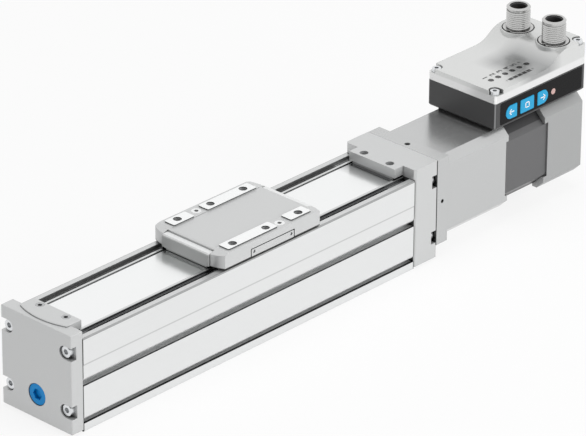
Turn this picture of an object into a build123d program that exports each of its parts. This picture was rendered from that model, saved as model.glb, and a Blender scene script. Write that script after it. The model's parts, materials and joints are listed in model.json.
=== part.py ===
"""A spindle axis unit: a ball screw axis in an aluminium profile, with its motor and drive.

X runs along the travel from the free end cap to the motor, Z is up, and the long side with
the push buttons faces -Y. Everything is drawn with X counted from the face of the free end
cap, and each finished piece is then moved so that the stored origin lies at the middle of
the profile's length and width, on its underside. All sizes are in millimetres.
"""

from build123d import *
import math
import os

os.makedirs("parts", exist_ok=True)

# Driving sizes: the axis section
AXIS_W = 45.0
PROFILE_H = 47.3
SPINDLE_Z = 29.5
CAP_BOTTOM = 1.0
MOTOR_W = 43.2

# Driving sizes: lengths along X
CAP_L = 7.4
PROFILE_L = 220.6
HEAD_L = 15.7
FLANGE_L = 8.0
HOUSING_L = 33.4
FRONT_BELL_L = 9.8
STATOR_L = 31.2
REAR_BELL_L = 26.9

# Clearances
RUN_GAP = 0.05
SEAT_GAP = 0.02
JOINT_GAP = 0.1
BODY_GAP = 0.4
BORE_MARGIN = 0.5

# Profile
WALL = 3.4
LOWER_WALL = 7.5
PROFILE_FLOOR = 6.0
PROFILE_EDGE = 0.8
BOSS_DROP = 2.9
BOSS_H = 6.2
WIDE_BAY_H = 8.2
MILL_MARGIN = 10.6
SIDE_STEP_Z = 34.0
SIDE_STEP = 0.15
LOW_GROOVE_Z = 4.1
LOW_GROOVE_MOUTH = 3.8
HIGH_GROOVE_Z = 23.1
HIGH_GROOVE_MOUTH = 4.8
GROOVE_DEPTH = 4.3
GROOVE_SLIT = 1.4
FOOT_BOLT_R = 2.1
FOOT_BOLT_SKIN = 1.0
FOOT_PITCH_X = 120.0
FOOT_PITCH_Y = 24.0

# Cover strip
STRIP_DROP = 0.65
STRIP_T = 0.6
STRIP_BEAD_H = 0.5
STRIP_BEAD_W = 2.0
STRIP_CREASE = 0.4
STRIP_CREASE_W = 0.6
STRIP_LEDGE_DROP = 0.95
STRIP_LEDGE_W = 0.6
STRIP_SLOT_W = 3.2
STRIP_TAB_GAP = 0.3
STRIP_TAB_L = 3.0
STRIP_END_GAP = 0.3

# Socket screws that close the profile's ends
END_SCREW_INSET = 4.2
END_SCREW_DROP = 5.5
END_SCREW_LOW_Z = 12.1
END_SCREW_R = 1.5
END_HEAD_R = 2.75
END_HEAD_H = 2.4
END_HEX = 2.5
POCKET_R = 3.3
END_THREAD_L = 9.5

# End cap
CAP_RISE = 4.1
CAP_EDGE = 0.6
CAP_POCKET_DEPTH = 3.4
SPIGOT_L = 10.6
SPIGOT_SIDE_GAP = 2.4
SPIGOT_RAIL_GAP = 0.6
PLUG_R = 5.5
PLUG_L = 3.0
PLUG_Z = 13.6
PLUG_HEX = 5.0

# Clamp plate on the free end
CLAMP_FRONT_X = 2.0
CLAMP_WING = 2.0
CLAMP_ARC_X = 5.0
CLAMP_REAR_X = 14.0
CLAMP_RISE = 4.8
CLAMP_RELIEF = 0.9
CLAMP_SCREW_X = 10.9
CLAMP_SCREW_Y = 8.35
CLAMP_HEAD_R = 2.25
CLAMP_SCREW_R = 1.25
CLAMP_SCREW_L = 12.0
CLAMP_HEX = 2.0
CLAMP_HOLE_DEPTH = 8.0

# Guide
RAIL_W = 12.0
RAIL_H = 7.5
RAIL_END_GAP = 5.0
RAIL_GROOVE = 1.0
RAIL_SCREW_PITCH = 25.0
RAIL_SCREW_COUNT = 8
RAIL_SCREW_R = 1.5
RAIL_HEAD_R = 2.75
RAIL_HEAD_H = 3.0
RAIL_SCREW_L = 8.0
RUNNER_L = 44.0
BAY_ROOM = 1.5
RUNNER_LIFT = 1.6
RUNNER_ROOF = 4.5
RUNNER_GAP = 0.3

# Spindle and its bearings
SPINDLE_R = 5.0
FREE_JOURNAL_R = 3.0
FREE_BEARING_R = 7.5
FREE_BEARING_L = 5.0
FIXED_JOURNAL_R = 4.0
FIXED_BEARING_R = 9.5
FIXED_BEARING_L = 6.0
HUB_JOURNAL_R = 3.0
LOCKNUT_R = 7.0
LOCKNUT_L = 5.0
RETAINER_R = 12.0
RETAINER_L = 1.5
BUFFER_R = 9.0
BUFFER_BORE_R = 6.2
BUFFER_L = 8.0

# Carriage
CARRIAGE_X = 130.0
CARRIAGE_L = 70.0
CARRIAGE_SIDE_L = 63.2
CARRIAGE_FRONT_L = 68.0
CARRIAGE_LIFT = 0.8
CARRIAGE_T = 7.9
CARRIAGE_DISH = 0.25
CARRIAGE_SLOPE_L = 5.0
CARRIAGE_SLOPE_H = 1.5
PAD_H = 0.6
PAD_INSET = 1.7
PAD_W = 6.6
PAD_SHORT = (-27.5, -14.0)
PAD_LONG = (-5.1, 27.5)
PAD_CORNER = 0.8
MOUNT_PITCH_X = 43.75
MOUNT_INSET = 4.75
MOUNT_HOLE_R = 2.1
MOUNT_HOLE_DEPTH = 7.3
CENTRING_R = 2.0
CENTRING_DEPTH = 3.0
PORT_X = -8.9
PORT_INSET = 4.3
PORT_HEAD_R = 2.5
PORT_SCREW_R = 1.25
PORT_SCREW_L = 4.2
WIPER_L = 4.0
WIPER_INSET = 7.6
WIPER_LIP = 0.3
WIPER_BEVEL = 0.8
WEB_T = 2.4
WEB_L = 60.0
WEB_TONGUE_H = 3.4
WEB_TONGUE_L = 28.8
SIDE_COVER_H = 4.1
SIDE_COVER_T = 1.2
SIDE_COVER_CORNER = 1.5
SIDE_COVER_JOINT = 0.25
SIDE_SCREW_PITCH = 24.8
SIDE_SCREW_RISE = 2.45
SIDE_SCREW_R = 0.8
SIDE_SCREW_SUNK = 0.5
SLIDE_L = 64.0
SLIDE_ROOM = 1.0
SLIDE_BAR_ROOM = 0.8
NUT_R = 10.0
NUT_L = 36.0
NUT_FLANGE_L = 4.0
NUT_BOLT_R = 1.0

# Head block
HEAD_RISE = 5.4
HEAD_EDGE = 1.0
SEAM_EDGE = 0.2
TONGUE_REACH = 6.0
TONGUE_WING = 1.7
TONGUE_LIFT = 0.7
SET_SCREW_X = 3.5
SET_SCREW_R = 2.1
SET_SCREW_L = 3.6
SET_SCREW_HEX = 2.0
HEAD_POCKET_DEPTH = 3.5
HEAD_HEAD_H = 3.0
HEAD_WALL = 2.2
FLANGE_BOLT_R = 1.5
FLANGE_BOLT_HEAD_R = 2.3
FLANGE_BOLT_HEAD_H = 1.8
FLANGE_PILOT_R = 10.0
FLANGE_BOLT_DEPTH = 8.0

# Coupling housing and coupling
FLANGE_STEP = 0.8
FLANGE_DROP = 0.1
MOTOR_CHAMFER = 4.1
MOTOR_SHELL = 4.6
HOUSING_WALL = 4.3
TOP_HOLE_R = 1.45
TOP_HOLE_X = 3.4
SIDE_HOLE_R = 1.0
SIDE_HOLE_X = 4.1
SMALL_HOLE_DEPTH = 3.0
HUB_R = 11.5
HUB_L = 10.0
JAW_L = 5.0
JAW_COUNT = 3
JAW_ANGLE = 52.0
SPINDLE_JAW_TURN = 90.0
MOTOR_JAW_TURN = 30.0
JAW_BORE_R = 5.0
JAW_GAP = 0.4
SPIDER_ANGLE = 6.4
SPIDER_R = 11.2
SPIDER_CORE_R = 4.8
SPIDER_BORE_R = 3.4
HUB_SLOT = 1.0
HUB_SCREW_R = 1.25
HUB_SCREW_HEAD_R = 2.0
HUB_SCREW_HEAD_H = 1.8
HUB_SCREW_L = 10.0
HUB_SCREW_RISE = 6.9
HUB_SCREW_SEAT = 4.2

# Motor
STATOR_INSET = 0.8
STATOR_CHAMFER = 7.0
ROTOR_GAP = 0.3
STATOR_RING = 8.3
LUG_REAR = 1.7
LUG_FRONT = 2.5
LUG_REACH = 7.0
ROTOR_MARGIN = 2.6
SHAFT_R = 2.5
SHAFT_OUT = 20.0
MOTOR_BEARING_R = 8.0
MOTOR_BEARING_L = 5.0
PILOT_L = 2.0
MOTOR_BOLT_INSET = 6.1
MOTOR_BOLT_R = 1.5
MOTOR_BOLT_HEAD_R = 2.75
MOTOR_BOLT_HEAD_H = 2.8
MOTOR_BOLT_SUNK = 3.2
MOTOR_BOLT_THREAD = 8.0
REAR_PLATE_L = 7.0
REAR_EDGE = 1.2
REAR_SHELF = 2.0
REAR_WALL = 4.0
ENCODER_T = 1.6
ENCODER_X = 13.3
MAGNET_R = 6.0
MAGNET_L = 2.0

# Drive box
DRIVE_X_GAP = 0.75
DRIVE_L = 66.95
DRIVE_W = 43.6
DRIVE_CORNER = 1.4
DRIVE_WALL = 2.0
GASKET_T = 2.05
BASE_H = 14.05
LID_LOW_H = 6.3
LID_HIGH_H = 13.0
RISE_START = 33.55
RISE_L = 22.3
RISE_PULL = 0.55
LID_T = 2.2
BASE_EDGE = 0.9
GASKET_INSET = 3.2
LID_SCREW_FRONT = 2.75
LID_SCREW_REAR = 2.8
LID_SCREW_INSET = 3.0
LID_SCREW_R = 1.25
LID_HEAD_R = 2.3
LID_HEAD_H = 1.8
LID_HEAD_DEPTH = 2.3
LID_BORE_R = 3.0
POST_R = 3.1
STANDOFF_R = 2.2
STANDOFF_H = 3.85
BOARD_T = 1.6
BOARD_MARGIN = 5.0
BOARD_SIDE = 2.8
STANDOFF_INSET = 4.0
STANDOFF_Y = (-11.0, 14.0)
CHIP_HALF = 5.0
CHIP_T = 1.4
CAPACITOR_R = 3.2
CAPACITOR_H = 7.0
CAPACITOR_INSET = 10.0
CAPACITOR_Y = (-4.0, 8.0)
LED_X = 9.55
LED_PITCH = 5.2
LED_COUNT = 6
LED_Y = -10.4
LED_R = 1.5
BAR_X = 15.65
BAR_PITCH = 3.3
BAR_COUNT = 5
BAR_SIZE = (2.8, 2.0)
BAR_Y = -16.3
BAR_DEPTH = 0.6
FOIL_FRONT = 3.6
FOIL_REAR = 2.55
FOIL_LIFT = 1.55
FOIL_DROP = 0.8
FOIL_T = 0.3
FOIL_CORNER = 1.0
BUTTON_LIFT = 2.8
BUTTON_H = 7.2
BUTTONS = {"back_button": (7.95, 16.15), "stop_button": (18.55, 28.65), "forward_button": (31.25, 39.05)}
BUTTON_ROUND = {"back_button": -1, "stop_button": 0, "forward_button": 1}
BUTTON_GAP = 0.15
BUTTON_PROUD = 0.2
BUTTON_TRAVEL = 0.4
BUTTON_RIM = 0.8
BUTTON_RIM_T = 0.7
BUTTON_RIM_GAP = 0.2
BUTTON_CORNER = 0.6
SWITCH_GAP = 0.3
SWITCH_T = 1.2
SWITCH_HALF = 2.6
SWITCH_BOARD_X = (5.5, 46.0)
SWITCH_BOARD_H = 9.25
STATUS_X = 43.05
STATUS_LIFT = 6.75
STATUS_R = 1.55

# Round connectors
SOCKET_INSET = 12.6
SOCKET_Y = 11.45
THREAD_R = 6.0
THREAD_RISE = 11.8
THREAD_BORE_R = 4.4
SHELL_FLANGE_R = 7.6
SHELL_FLANGE_T = 1.2
SHELL_RECESS_R = 8.15
SHELL_RECESS = 0.9
SHELL_NECK_R = 5.9
SHELL_DEPTH = 6.8
SHELL_NUT_R = 7.4
SHELL_NUT_L = 2.6
SHELL_BOSS_R = 8.7
SHELL_GROOVE = 0.5
SHELL_LIP = 0.7
SHELL_SKIN = 1.4
SEAL_H = 0.7
INSERT_SUNK = 8.6
INSERT_WALL = 0.5
INSERT_RIM_SUNK = 0.9
PIN_R = 0.5
PIN_SUNK = 4.0
PIN_ROOT = 3.0
PIN_CIRCLE_R = 2.75
PIN_COUNTS = (5, 8)

# Places along X worked out from the lengths
PROFILE_END = CAP_L + PROFILE_L
ORIGIN_X = CAP_L + PROFILE_L / 2
HOUSING_X = PROFILE_END + HEAD_L
HOUSING_BODY_X = HOUSING_X + FLANGE_L
MOTOR_X = HOUSING_BODY_X + HOUSING_L
STATOR_X = MOTOR_X + FRONT_BELL_L
REAR_X = STATOR_X + STATOR_L
MOTOR_END = REAR_X + REAR_BELL_L
DRIVE_X = MOTOR_X + DRIVE_X_GAP
DRIVE_END = DRIVE_X + DRIVE_L
SPIGOT_END = CAP_L + SPIGOT_L
HEAD_SPIGOT_X = PROFILE_END - TONGUE_REACH

# Places across the width worked out from the section
AXIS_HALF = AXIS_W / 2
BAY_HALF = AXIS_HALF - WALL
LOWER_BAY_HALF = AXIS_HALF - LOWER_WALL
STRIP_LEDGE_HALF = BAY_HALF - STRIP_SLOT_W
STRIP_WALL_HALF = STRIP_LEDGE_HALF - STRIP_LEDGE_W
STRIP_FLAT_HALF = STRIP_WALL_HALF - STRIP_BEAD_W
STRIP_TAB_HALF = STRIP_FLAT_HALF - STRIP_TAB_GAP
CLAMP_HALF = STRIP_TAB_HALF + CLAMP_WING
TONGUE_HALF = STRIP_TAB_HALF + TONGUE_WING
SPIGOT_HALF = LOWER_BAY_HALF - SPIGOT_SIDE_GAP
SLIDE_HALF = LOWER_BAY_HALF - BODY_GAP
RUNNER_HALF = LOWER_BAY_HALF - BAY_ROOM
PAD_OUTER = AXIS_HALF - PAD_INSET
PAD_INNER = PAD_OUTER - PAD_W
MOUNT_Y = AXIS_HALF - MOUNT_INSET
PORT_Y = AXIS_HALF - PORT_INSET
WIPER_HALF = AXIS_HALF - WIPER_INSET
DRIVE_HALF = DRIVE_W / 2

# Heights worked out from the profile
RAIL_TOP = PROFILE_FLOOR + RAIL_H
SPIGOT_BOTTOM = RAIL_TOP + SPIGOT_RAIL_GAP
RUNNER_BOTTOM = PROFILE_FLOOR + RUNNER_LIFT
RUNNER_TOP = RAIL_TOP + RUNNER_ROOF
BOSS_TOP = PROFILE_H - BOSS_DROP
BOSS_BOTTOM = BOSS_TOP - BOSS_H
LOWER_BAY_TOP = BOSS_BOTTOM - WIDE_BAY_H
STRIP_TOP = PROFILE_H - STRIP_DROP
STRIP_LEDGE_TOP = STRIP_TOP - STRIP_LEDGE_DROP
SPIGOT_TOP = STRIP_TOP - STRIP_T
CAP_TOP = PROFILE_H + CAP_RISE
CLAMP_TOP = PROFILE_H + CLAMP_RISE
HEAD_TOP = PROFILE_H + HEAD_RISE
TONGUE_BOTTOM = PROFILE_H + TONGUE_LIFT
CARRIAGE_BOTTOM = PROFILE_H + CARRIAGE_LIFT
CARRIAGE_TOP = CARRIAGE_BOTTOM + CARRIAGE_T
PAD_TOP = CARRIAGE_TOP + PAD_H
WIPER_TOP = CARRIAGE_TOP - CARRIAGE_SLOPE_H
WEB_TONGUE_TOP = CARRIAGE_BOTTOM + WEB_TONGUE_H
SIDE_SCREW_Z = CARRIAGE_BOTTOM + SIDE_SCREW_RISE
SLIDE_TOP = BOSS_TOP - SLIDE_ROOM
SLIDE_BAR_Z = (LOWER_BAY_TOP + SLIDE_BAR_ROOM, BOSS_BOTTOM - SLIDE_BAR_ROOM)

# Heights and radii worked out from the motor
MOTOR_HALF = MOTOR_W / 2
FLANGE_BOTTOM = SPINDLE_Z - MOTOR_HALF - FLANGE_STEP
FLANGE_TOP = HEAD_TOP - FLANGE_DROP
HOUSING_BORE_R = MOTOR_HALF - MOTOR_SHELL
REAR_CAVITY_R = MOTOR_HALF - MOTOR_SHELL
FLANGE_BOLT_CIRCLE_R = HOUSING_BORE_R - FLANGE_BOLT_HEAD_R - 2 * JOINT_GAP
STATOR_BORE_R = MOTOR_HALF - STATOR_RING
ROTOR_R = STATOR_BORE_R - ROTOR_GAP
MOTOR_BOLT_HALF = MOTOR_HALF - MOTOR_BOLT_INSET
MOTOR_TOP = SPINDLE_Z + MOTOR_HALF
DRIVE_BOTTOM = MOTOR_TOP + GASKET_T
DRIVE_FLOOR = DRIVE_BOTTOM + DRIVE_WALL
DRIVE_JOINT = DRIVE_BOTTOM + BASE_H
LID_LOW = DRIVE_JOINT + LID_LOW_H
LID_HIGH = DRIVE_JOINT + LID_HIGH_H
BUTTON_Z = (DRIVE_BOTTOM + BUTTON_LIFT, DRIVE_BOTTOM + BUTTON_LIFT + BUTTON_H)
STATUS_Z = DRIVE_BOTTOM + STATUS_LIFT
FOIL_X = (DRIVE_X + FOIL_FRONT, DRIVE_END - FOIL_REAR)
FOIL_Z = (DRIVE_BOTTOM + FOIL_LIFT, DRIVE_JOINT - FOIL_DROP)
THREAD_TOP = LID_HIGH + THREAD_RISE
SHELL_BOTTOM = LID_HIGH - SHELL_DEPTH
INSERT_TOP = THREAD_TOP - INSERT_SUNK
PIN_TOP = THREAD_TOP - PIN_SUNK

END_SCREW_Y = AXIS_HALF - END_SCREW_INSET
END_SCREW_HIGH_Z = PROFILE_H - END_SCREW_DROP
END_SCREWS = [(side * END_SCREW_Y, z) for side in (-1, 1) for z in (END_SCREW_LOW_Z, END_SCREW_HIGH_Z)]


def save(shape, name):
    """Moves a finished piece to the stored origin, labels it and writes it to its file."""
    piece = Compound([Pos(-ORIGIN_X, 0, 0) * solid for solid in shape.solids()])
    piece.label = name
    export_step(piece, f"parts/{name}.step")


def save_group(shapes, name):
    """Writes several equal pieces as one group."""
    save(ShapeList(shapes), name)


def block(x, y, z, mode=Mode.ADD):
    """Adds or cuts a block between pairs of limits, in the part that is open."""
    sizes = [high - low for low, high in (x, y, z)]
    with Locations([tuple((low + high) / 2 for low, high in (x, y, z))]):
        Box(*sizes, mode=mode)


def rod(radius, x0, x1, y=0.0, z=SPINDLE_Z, mode=Mode.ADD):
    """Adds or cuts a round bar along X, in the part that is open."""
    with Locations(Location(((x0 + x1) / 2, y, z), (0, 90, 0))):
        Cylinder(radius, x1 - x0, mode=mode)


def post(radius, x, y, z0, z1, mode=Mode.ADD):
    """Adds or cuts an upright round bar, in the part that is open."""
    with Locations((x, y, (z0 + z1) / 2)):
        Cylinder(radius, z1 - z0, mode=mode)


def ring(outer, inner, x0, x1, y=0.0, z=SPINDLE_Z):
    """A round ring whose axis runs along X."""
    with BuildPart() as piece:
        rod(outer, x0, x1, y, z)
        rod(inner, x0, x1, y, z, mode=Mode.SUBTRACT)
    return piece.part


def socket_screw(head_r, head_h, shank_r, length, hex_size):
    """A socket-head screw: its head's top at the origin, its shank along -Z."""
    with BuildPart() as screw:
        with Locations((0, 0, -head_h / 2)):
            Cylinder(head_r, head_h)
        with Locations((0, 0, -head_h - length / 2)):
            Cylinder(shank_r, length)
        with BuildSketch(Plane.XY):
            RegularPolygon(hex_size / 2, 6, major_radius=False)
        extrude(amount=-head_h * 0.55, mode=Mode.SUBTRACT)
    return screw.part


def countersunk_screw(head_r, shank_r, length, hex_size):
    """A countersunk screw: its head's top at the origin, its shank along -Z."""
    cone_h = head_r - shank_r
    with BuildPart() as screw:
        with Locations((0, 0, -cone_h / 2)):
            Cone(shank_r, head_r, cone_h)
        with Locations((0, 0, -(cone_h + length) / 2)):
            Cylinder(shank_r, length - cone_h)
        with BuildSketch(Plane.XY):
            RegularPolygon(hex_size / 2, 6, major_radius=False)
        extrude(amount=-cone_h * 0.8, mode=Mode.SUBTRACT)
    return screw.part


def along_x(x, y, z, way):
    """The plane at a point whose normal runs along X, way +1 or -1."""
    return Plane(origin=(x, y, z), x_dir=(0, 1, 0), z_dir=(way, 0, 0))


def groove(side, low, mouth):
    """Cuts a groove into one side of the open section: a slit over the lower lip, under a wide round."""
    radius = mouth - GROOVE_SLIT
    face = AXIS_HALF - SIDE_STEP
    with Locations((side * (face - radius / 2), low + mouth / 2)):
        Rectangle(radius, mouth, mode=Mode.SUBTRACT)
    with Locations((side * (face - radius), low + mouth)):
        Circle(radius)
    with Locations((side * (face - GROOVE_DEPTH / 2), low + GROOVE_SLIT / 2)):
        Rectangle(GROOVE_DEPTH, GROOVE_SLIT, mode=Mode.SUBTRACT)


# Profile
with BuildPart() as profile:
    with BuildSketch(Plane.YZ.offset(CAP_L)) as section:
        with Locations((0, PROFILE_H / 2)):
            Rectangle(AXIS_W, PROFILE_H)
        fillet(section.vertices(), PROFILE_EDGE)
        for side in (-1, 1):
            with Locations((side * AXIS_HALF, SIDE_STEP_Z / 2)):
                Rectangle(2 * SIDE_STEP, SIDE_STEP_Z, mode=Mode.SUBTRACT)
            groove(side, LOW_GROOVE_Z, LOW_GROOVE_MOUTH)
            groove(side, HIGH_GROOVE_Z, HIGH_GROOVE_MOUTH)
        with Locations((0, (PROFILE_FLOOR + BOSS_TOP) / 2)):
            Rectangle(2 * LOWER_BAY_HALF, BOSS_TOP - PROFILE_FLOOR, mode=Mode.SUBTRACT)
        with Locations((0, (LOWER_BAY_TOP + BOSS_BOTTOM) / 2)):
            Rectangle(2 * BAY_HALF, BOSS_BOTTOM - LOWER_BAY_TOP, mode=Mode.SUBTRACT)
        with Locations((0, (BOSS_TOP + PROFILE_H) / 2)):
            Rectangle(2 * BAY_HALF, PROFILE_H - BOSS_TOP, mode=Mode.SUBTRACT)
    extrude(amount=PROFILE_L)
    for side in (-1, 1):
        inner, outer = sorted((side * (LOWER_BAY_HALF - JOINT_GAP), side * BAY_HALF))
        mill = (CAP_L + MILL_MARGIN, PROFILE_END - MILL_MARGIN)
        block(mill, (inner, outer), (BOSS_BOTTOM - JOINT_GAP, BOSS_TOP + JOINT_GAP), mode=Mode.SUBTRACT)
    for y, z in END_SCREWS:
        bore_l = END_THREAD_L + BORE_MARGIN
        rod(END_SCREW_R + SEAT_GAP, CAP_L, CAP_L + bore_l, y, z, mode=Mode.SUBTRACT)
        rod(END_SCREW_R + SEAT_GAP, PROFILE_END - bore_l, PROFILE_END, y, z, mode=Mode.SUBTRACT)
    with BuildSketch(Plane.XY.offset(PROFILE_FLOOR)):
        with GridLocations(RAIL_SCREW_PITCH, 1, RAIL_SCREW_COUNT, 1):
            with Locations((ORIGIN_X, 0)):
                Circle(RAIL_SCREW_R + SEAT_GAP)
    extrude(amount=-(RAIL_SCREW_L - RAIL_H + RAIL_HEAD_H + BORE_MARGIN), mode=Mode.SUBTRACT)
    with BuildSketch(Plane.XY):
        with Locations((ORIGIN_X, 0)):
            with GridLocations(FOOT_PITCH_X, FOOT_PITCH_Y, 2, 2):
                Circle(FOOT_BOLT_R)
    extrude(amount=PROFILE_FLOOR - FOOT_BOLT_SKIN, mode=Mode.SUBTRACT)
save(profile.part, "profile")

# Guide rail, ball grooves along both flanks
with BuildPart() as guide_rail:
    with BuildSketch(Plane.YZ.offset(CAP_L + RAIL_END_GAP)):
        with Locations((0, PROFILE_FLOOR + RAIL_H / 2)):
            Rectangle(RAIL_W, RAIL_H)
        for side in (-1, 1):
            with Locations((side * RAIL_W / 2, RAIL_TOP - RAIL_H / 3)):
                Circle(RAIL_GROOVE, mode=Mode.SUBTRACT)
    extrude(amount=PROFILE_L - 2 * RAIL_END_GAP)
    with Locations((ORIGIN_X, 0, RAIL_TOP)):
        with GridLocations(RAIL_SCREW_PITCH, 1, RAIL_SCREW_COUNT, 1):
            CounterBoreHole(RAIL_SCREW_R + SEAT_GAP, RAIL_HEAD_R + JOINT_GAP, RAIL_HEAD_H, RAIL_H)
save(guide_rail.part, "guide_rail")

rail_screw = socket_screw(RAIL_HEAD_R, RAIL_HEAD_H, RAIL_SCREW_R, RAIL_SCREW_L, END_HEX)
RAIL_SPAN = RAIL_SCREW_PITCH * (RAIL_SCREW_COUNT - 1)
rail_screws = []
for index in range(RAIL_SCREW_COUNT):
    x = ORIGIN_X - RAIL_SPAN / 2 + index * RAIL_SCREW_PITCH
    rail_screws.append(Pos(x, 0, RAIL_TOP) * rail_screw)
save_group(rail_screws, "rail_screws")

# Cover strip, roll-formed with a bead and a ledge along both edges
bead_top = STRIP_TOP + STRIP_BEAD_H
crease_z = STRIP_TOP - STRIP_CREASE
crease_half = STRIP_FLAT_HALF + STRIP_CREASE_W
with BuildPart() as cover_strip:
    with BuildSketch(Plane.YZ.offset(CAP_L + STRIP_END_GAP)):
        with BuildLine():
            Polyline(
                (0, STRIP_TOP),
                (STRIP_FLAT_HALF, STRIP_TOP),
                (STRIP_FLAT_HALF, crease_z),
                (crease_half, crease_z),
                (crease_half, bead_top),
                (STRIP_WALL_HALF - STRIP_CREASE / 2, bead_top),
                (STRIP_WALL_HALF, bead_top - STRIP_CREASE / 2),
                (STRIP_WALL_HALF, STRIP_LEDGE_TOP),
                (STRIP_LEDGE_HALF, STRIP_LEDGE_TOP),
                (STRIP_LEDGE_HALF, STRIP_LEDGE_TOP - STRIP_T),
                (STRIP_WALL_HALF - STRIP_T, STRIP_LEDGE_TOP - STRIP_T),
                (STRIP_WALL_HALF - STRIP_T, crease_z - STRIP_T),
                (STRIP_FLAT_HALF - STRIP_T, crease_z - STRIP_T),
                (STRIP_FLAT_HALF - STRIP_T, STRIP_TOP - STRIP_T),
                (0, STRIP_TOP - STRIP_T),
                close=True,
            )
        make_face()
        mirror(about=Plane.YZ)
    extrude(amount=PROFILE_L - 2 * STRIP_END_GAP)
    tab_front = (CLAMP_ARC_X + 2 * STRIP_END_GAP, CAP_L + STRIP_END_GAP)
    tab_rear = (PROFILE_END - STRIP_END_GAP, PROFILE_END + STRIP_TAB_L)
    for limits in (tab_front, tab_rear):
        block(limits, (-STRIP_TAB_HALF, STRIP_TAB_HALF), (STRIP_TOP - STRIP_T, STRIP_TOP))
    for side in (-1, 1):
        post(CLAMP_SCREW_R + JOINT_GAP, CLAMP_SCREW_X, side * CLAMP_SCREW_Y, 0, PROFILE_H, mode=Mode.SUBTRACT)
save(cover_strip.part, "cover_strip")


def screw_pockets(x0, x1):
    """Cuts the four rounded pockets for the corner screws, open to the sides."""
    for y, z in END_SCREWS:
        rod(POCKET_R, x0, x1, y, z, mode=Mode.SUBTRACT)
        limits = sorted((y, math.copysign(AXIS_HALF + 1, y)))
        block((x0, x1), limits, (z - POCKET_R, z + POCKET_R), mode=Mode.SUBTRACT)


def clamp_outline(gap):
    """The clamp plate's outline seen from above, grown by a gap."""
    half = CLAMP_HALF + gap
    corner_x = CLAMP_ARC_X - gap
    with BuildSketch() as outline:
        with BuildLine():
            ThreePointArc((corner_x, -half), (CLAMP_FRONT_X - gap, 0), (corner_x, half))
            Polyline((corner_x, half), (CLAMP_REAR_X, half), (CLAMP_REAR_X, -half), (corner_x, -half))
        make_face()
    return outline.sketch


clamp_shape = clamp_outline(0)
clamp_recess = clamp_outline(JOINT_GAP)


# End cap with the spigot that carries the free-end bearing
CAP_H = CAP_TOP - CAP_BOTTOM
FREE_BEARING_X = SPIGOT_END - FREE_BEARING_L - 1.7
TAB_SEAT_Y = (-STRIP_TAB_HALF - 2 * JOINT_GAP, STRIP_TAB_HALF + 2 * JOINT_GAP)
with BuildPart() as end_cap:
    with BuildSketch(Plane.YZ):
        with Locations((0, CAP_BOTTOM + CAP_H / 2)):
            RectangleRounded(AXIS_W, CAP_H, CAP_EDGE)
    extrude(amount=CAP_L)
    chamfer(end_cap.faces().sort_by(Axis.X)[0].edges(), CAP_EDGE / 2)
    chamfer(end_cap.faces().sort_by(Axis.X)[-1].edges(), SEAM_EDGE)
    block((CAP_L, SPIGOT_END), (-SPIGOT_HALF, SPIGOT_HALF), (SPIGOT_BOTTOM, SPIGOT_TOP))
    screw_pockets(-1, CAP_POCKET_DEPTH)
    for y, z in END_SCREWS:
        rod(END_SCREW_R + JOINT_GAP, 0, CAP_L, y, z, mode=Mode.SUBTRACT)
    rod(PLUG_R + SEAT_GAP, 0, PLUG_L, 0, PLUG_Z, mode=Mode.SUBTRACT)
    rod(FREE_BEARING_R + SEAT_GAP, FREE_BEARING_X, SPIGOT_END, mode=Mode.SUBTRACT)
    rod(FREE_JOURNAL_R + 1.5, FREE_BEARING_X - 1.8, FREE_BEARING_X, mode=Mode.SUBTRACT)
    with BuildSketch(Plane.XY.offset(STRIP_TOP)):
        add(clamp_recess)
    extrude(amount=CAP_TOP - STRIP_TOP, mode=Mode.SUBTRACT)
    block((CLAMP_ARC_X + BODY_GAP, CAP_L), TAB_SEAT_Y, (SPIGOT_TOP, STRIP_TOP), mode=Mode.SUBTRACT)
    for side in (-1, 1):
        place = (CLAMP_SCREW_X, side * CLAMP_SCREW_Y)
        post(CLAMP_SCREW_R + SEAT_GAP, *place, SPIGOT_TOP - CLAMP_HOLE_DEPTH, SPIGOT_TOP, mode=Mode.SUBTRACT)
save(end_cap.part, "end_cap")

cap_shank = CAP_L - CAP_POCKET_DEPTH + END_THREAD_L
cap_screw = socket_screw(END_HEAD_R, END_HEAD_H, END_SCREW_R, cap_shank, END_HEX)
cap_screw_x = CAP_POCKET_DEPTH - END_HEAD_H
save_group([along_x(cap_screw_x, y, z, -1) * cap_screw for y, z in END_SCREWS], "end_cap_screws")

with BuildPart() as port_plug:
    rod(PLUG_R, 0.3, PLUG_L, 0, PLUG_Z)
    with BuildSketch(along_x(0.3, 0, PLUG_Z, 1)):
        RegularPolygon(PLUG_HEX / 2, 6, major_radius=False)
    extrude(amount=PLUG_L / 2, mode=Mode.SUBTRACT)
    chamfer(port_plug.edges().filter_by(GeomType.CIRCLE).sort_by(Axis.X)[0], 0.4)
save(port_plug.part, "port_plug")

# Clamp plate that holds the strip on the free end
with BuildPart() as strip_clamp:
    with BuildSketch(Plane.XY.offset(STRIP_TOP)):
        add(clamp_shape)
    extrude(amount=CLAMP_TOP - STRIP_TOP)
    for side in (-1, 1):
        limits = sorted((side * (STRIP_TAB_HALF - 0.1), side * (CLAMP_HALF + 1)))
        block((CAP_L, CLAMP_REAR_X), limits, (STRIP_TOP, STRIP_TOP + CLAMP_RELIEF), mode=Mode.SUBTRACT)
    with Locations([(CLAMP_SCREW_X, side * CLAMP_SCREW_Y, CLAMP_TOP) for side in (-1, 1)]):
        CounterSinkHole(CLAMP_SCREW_R + JOINT_GAP, CLAMP_HEAD_R + JOINT_GAP, counter_sink_angle=90)
    chamfer(strip_clamp.faces().sort_by(Axis.Z)[-1].outer_wire().edges(), 0.3)
save(strip_clamp.part, "strip_clamp")

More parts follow.
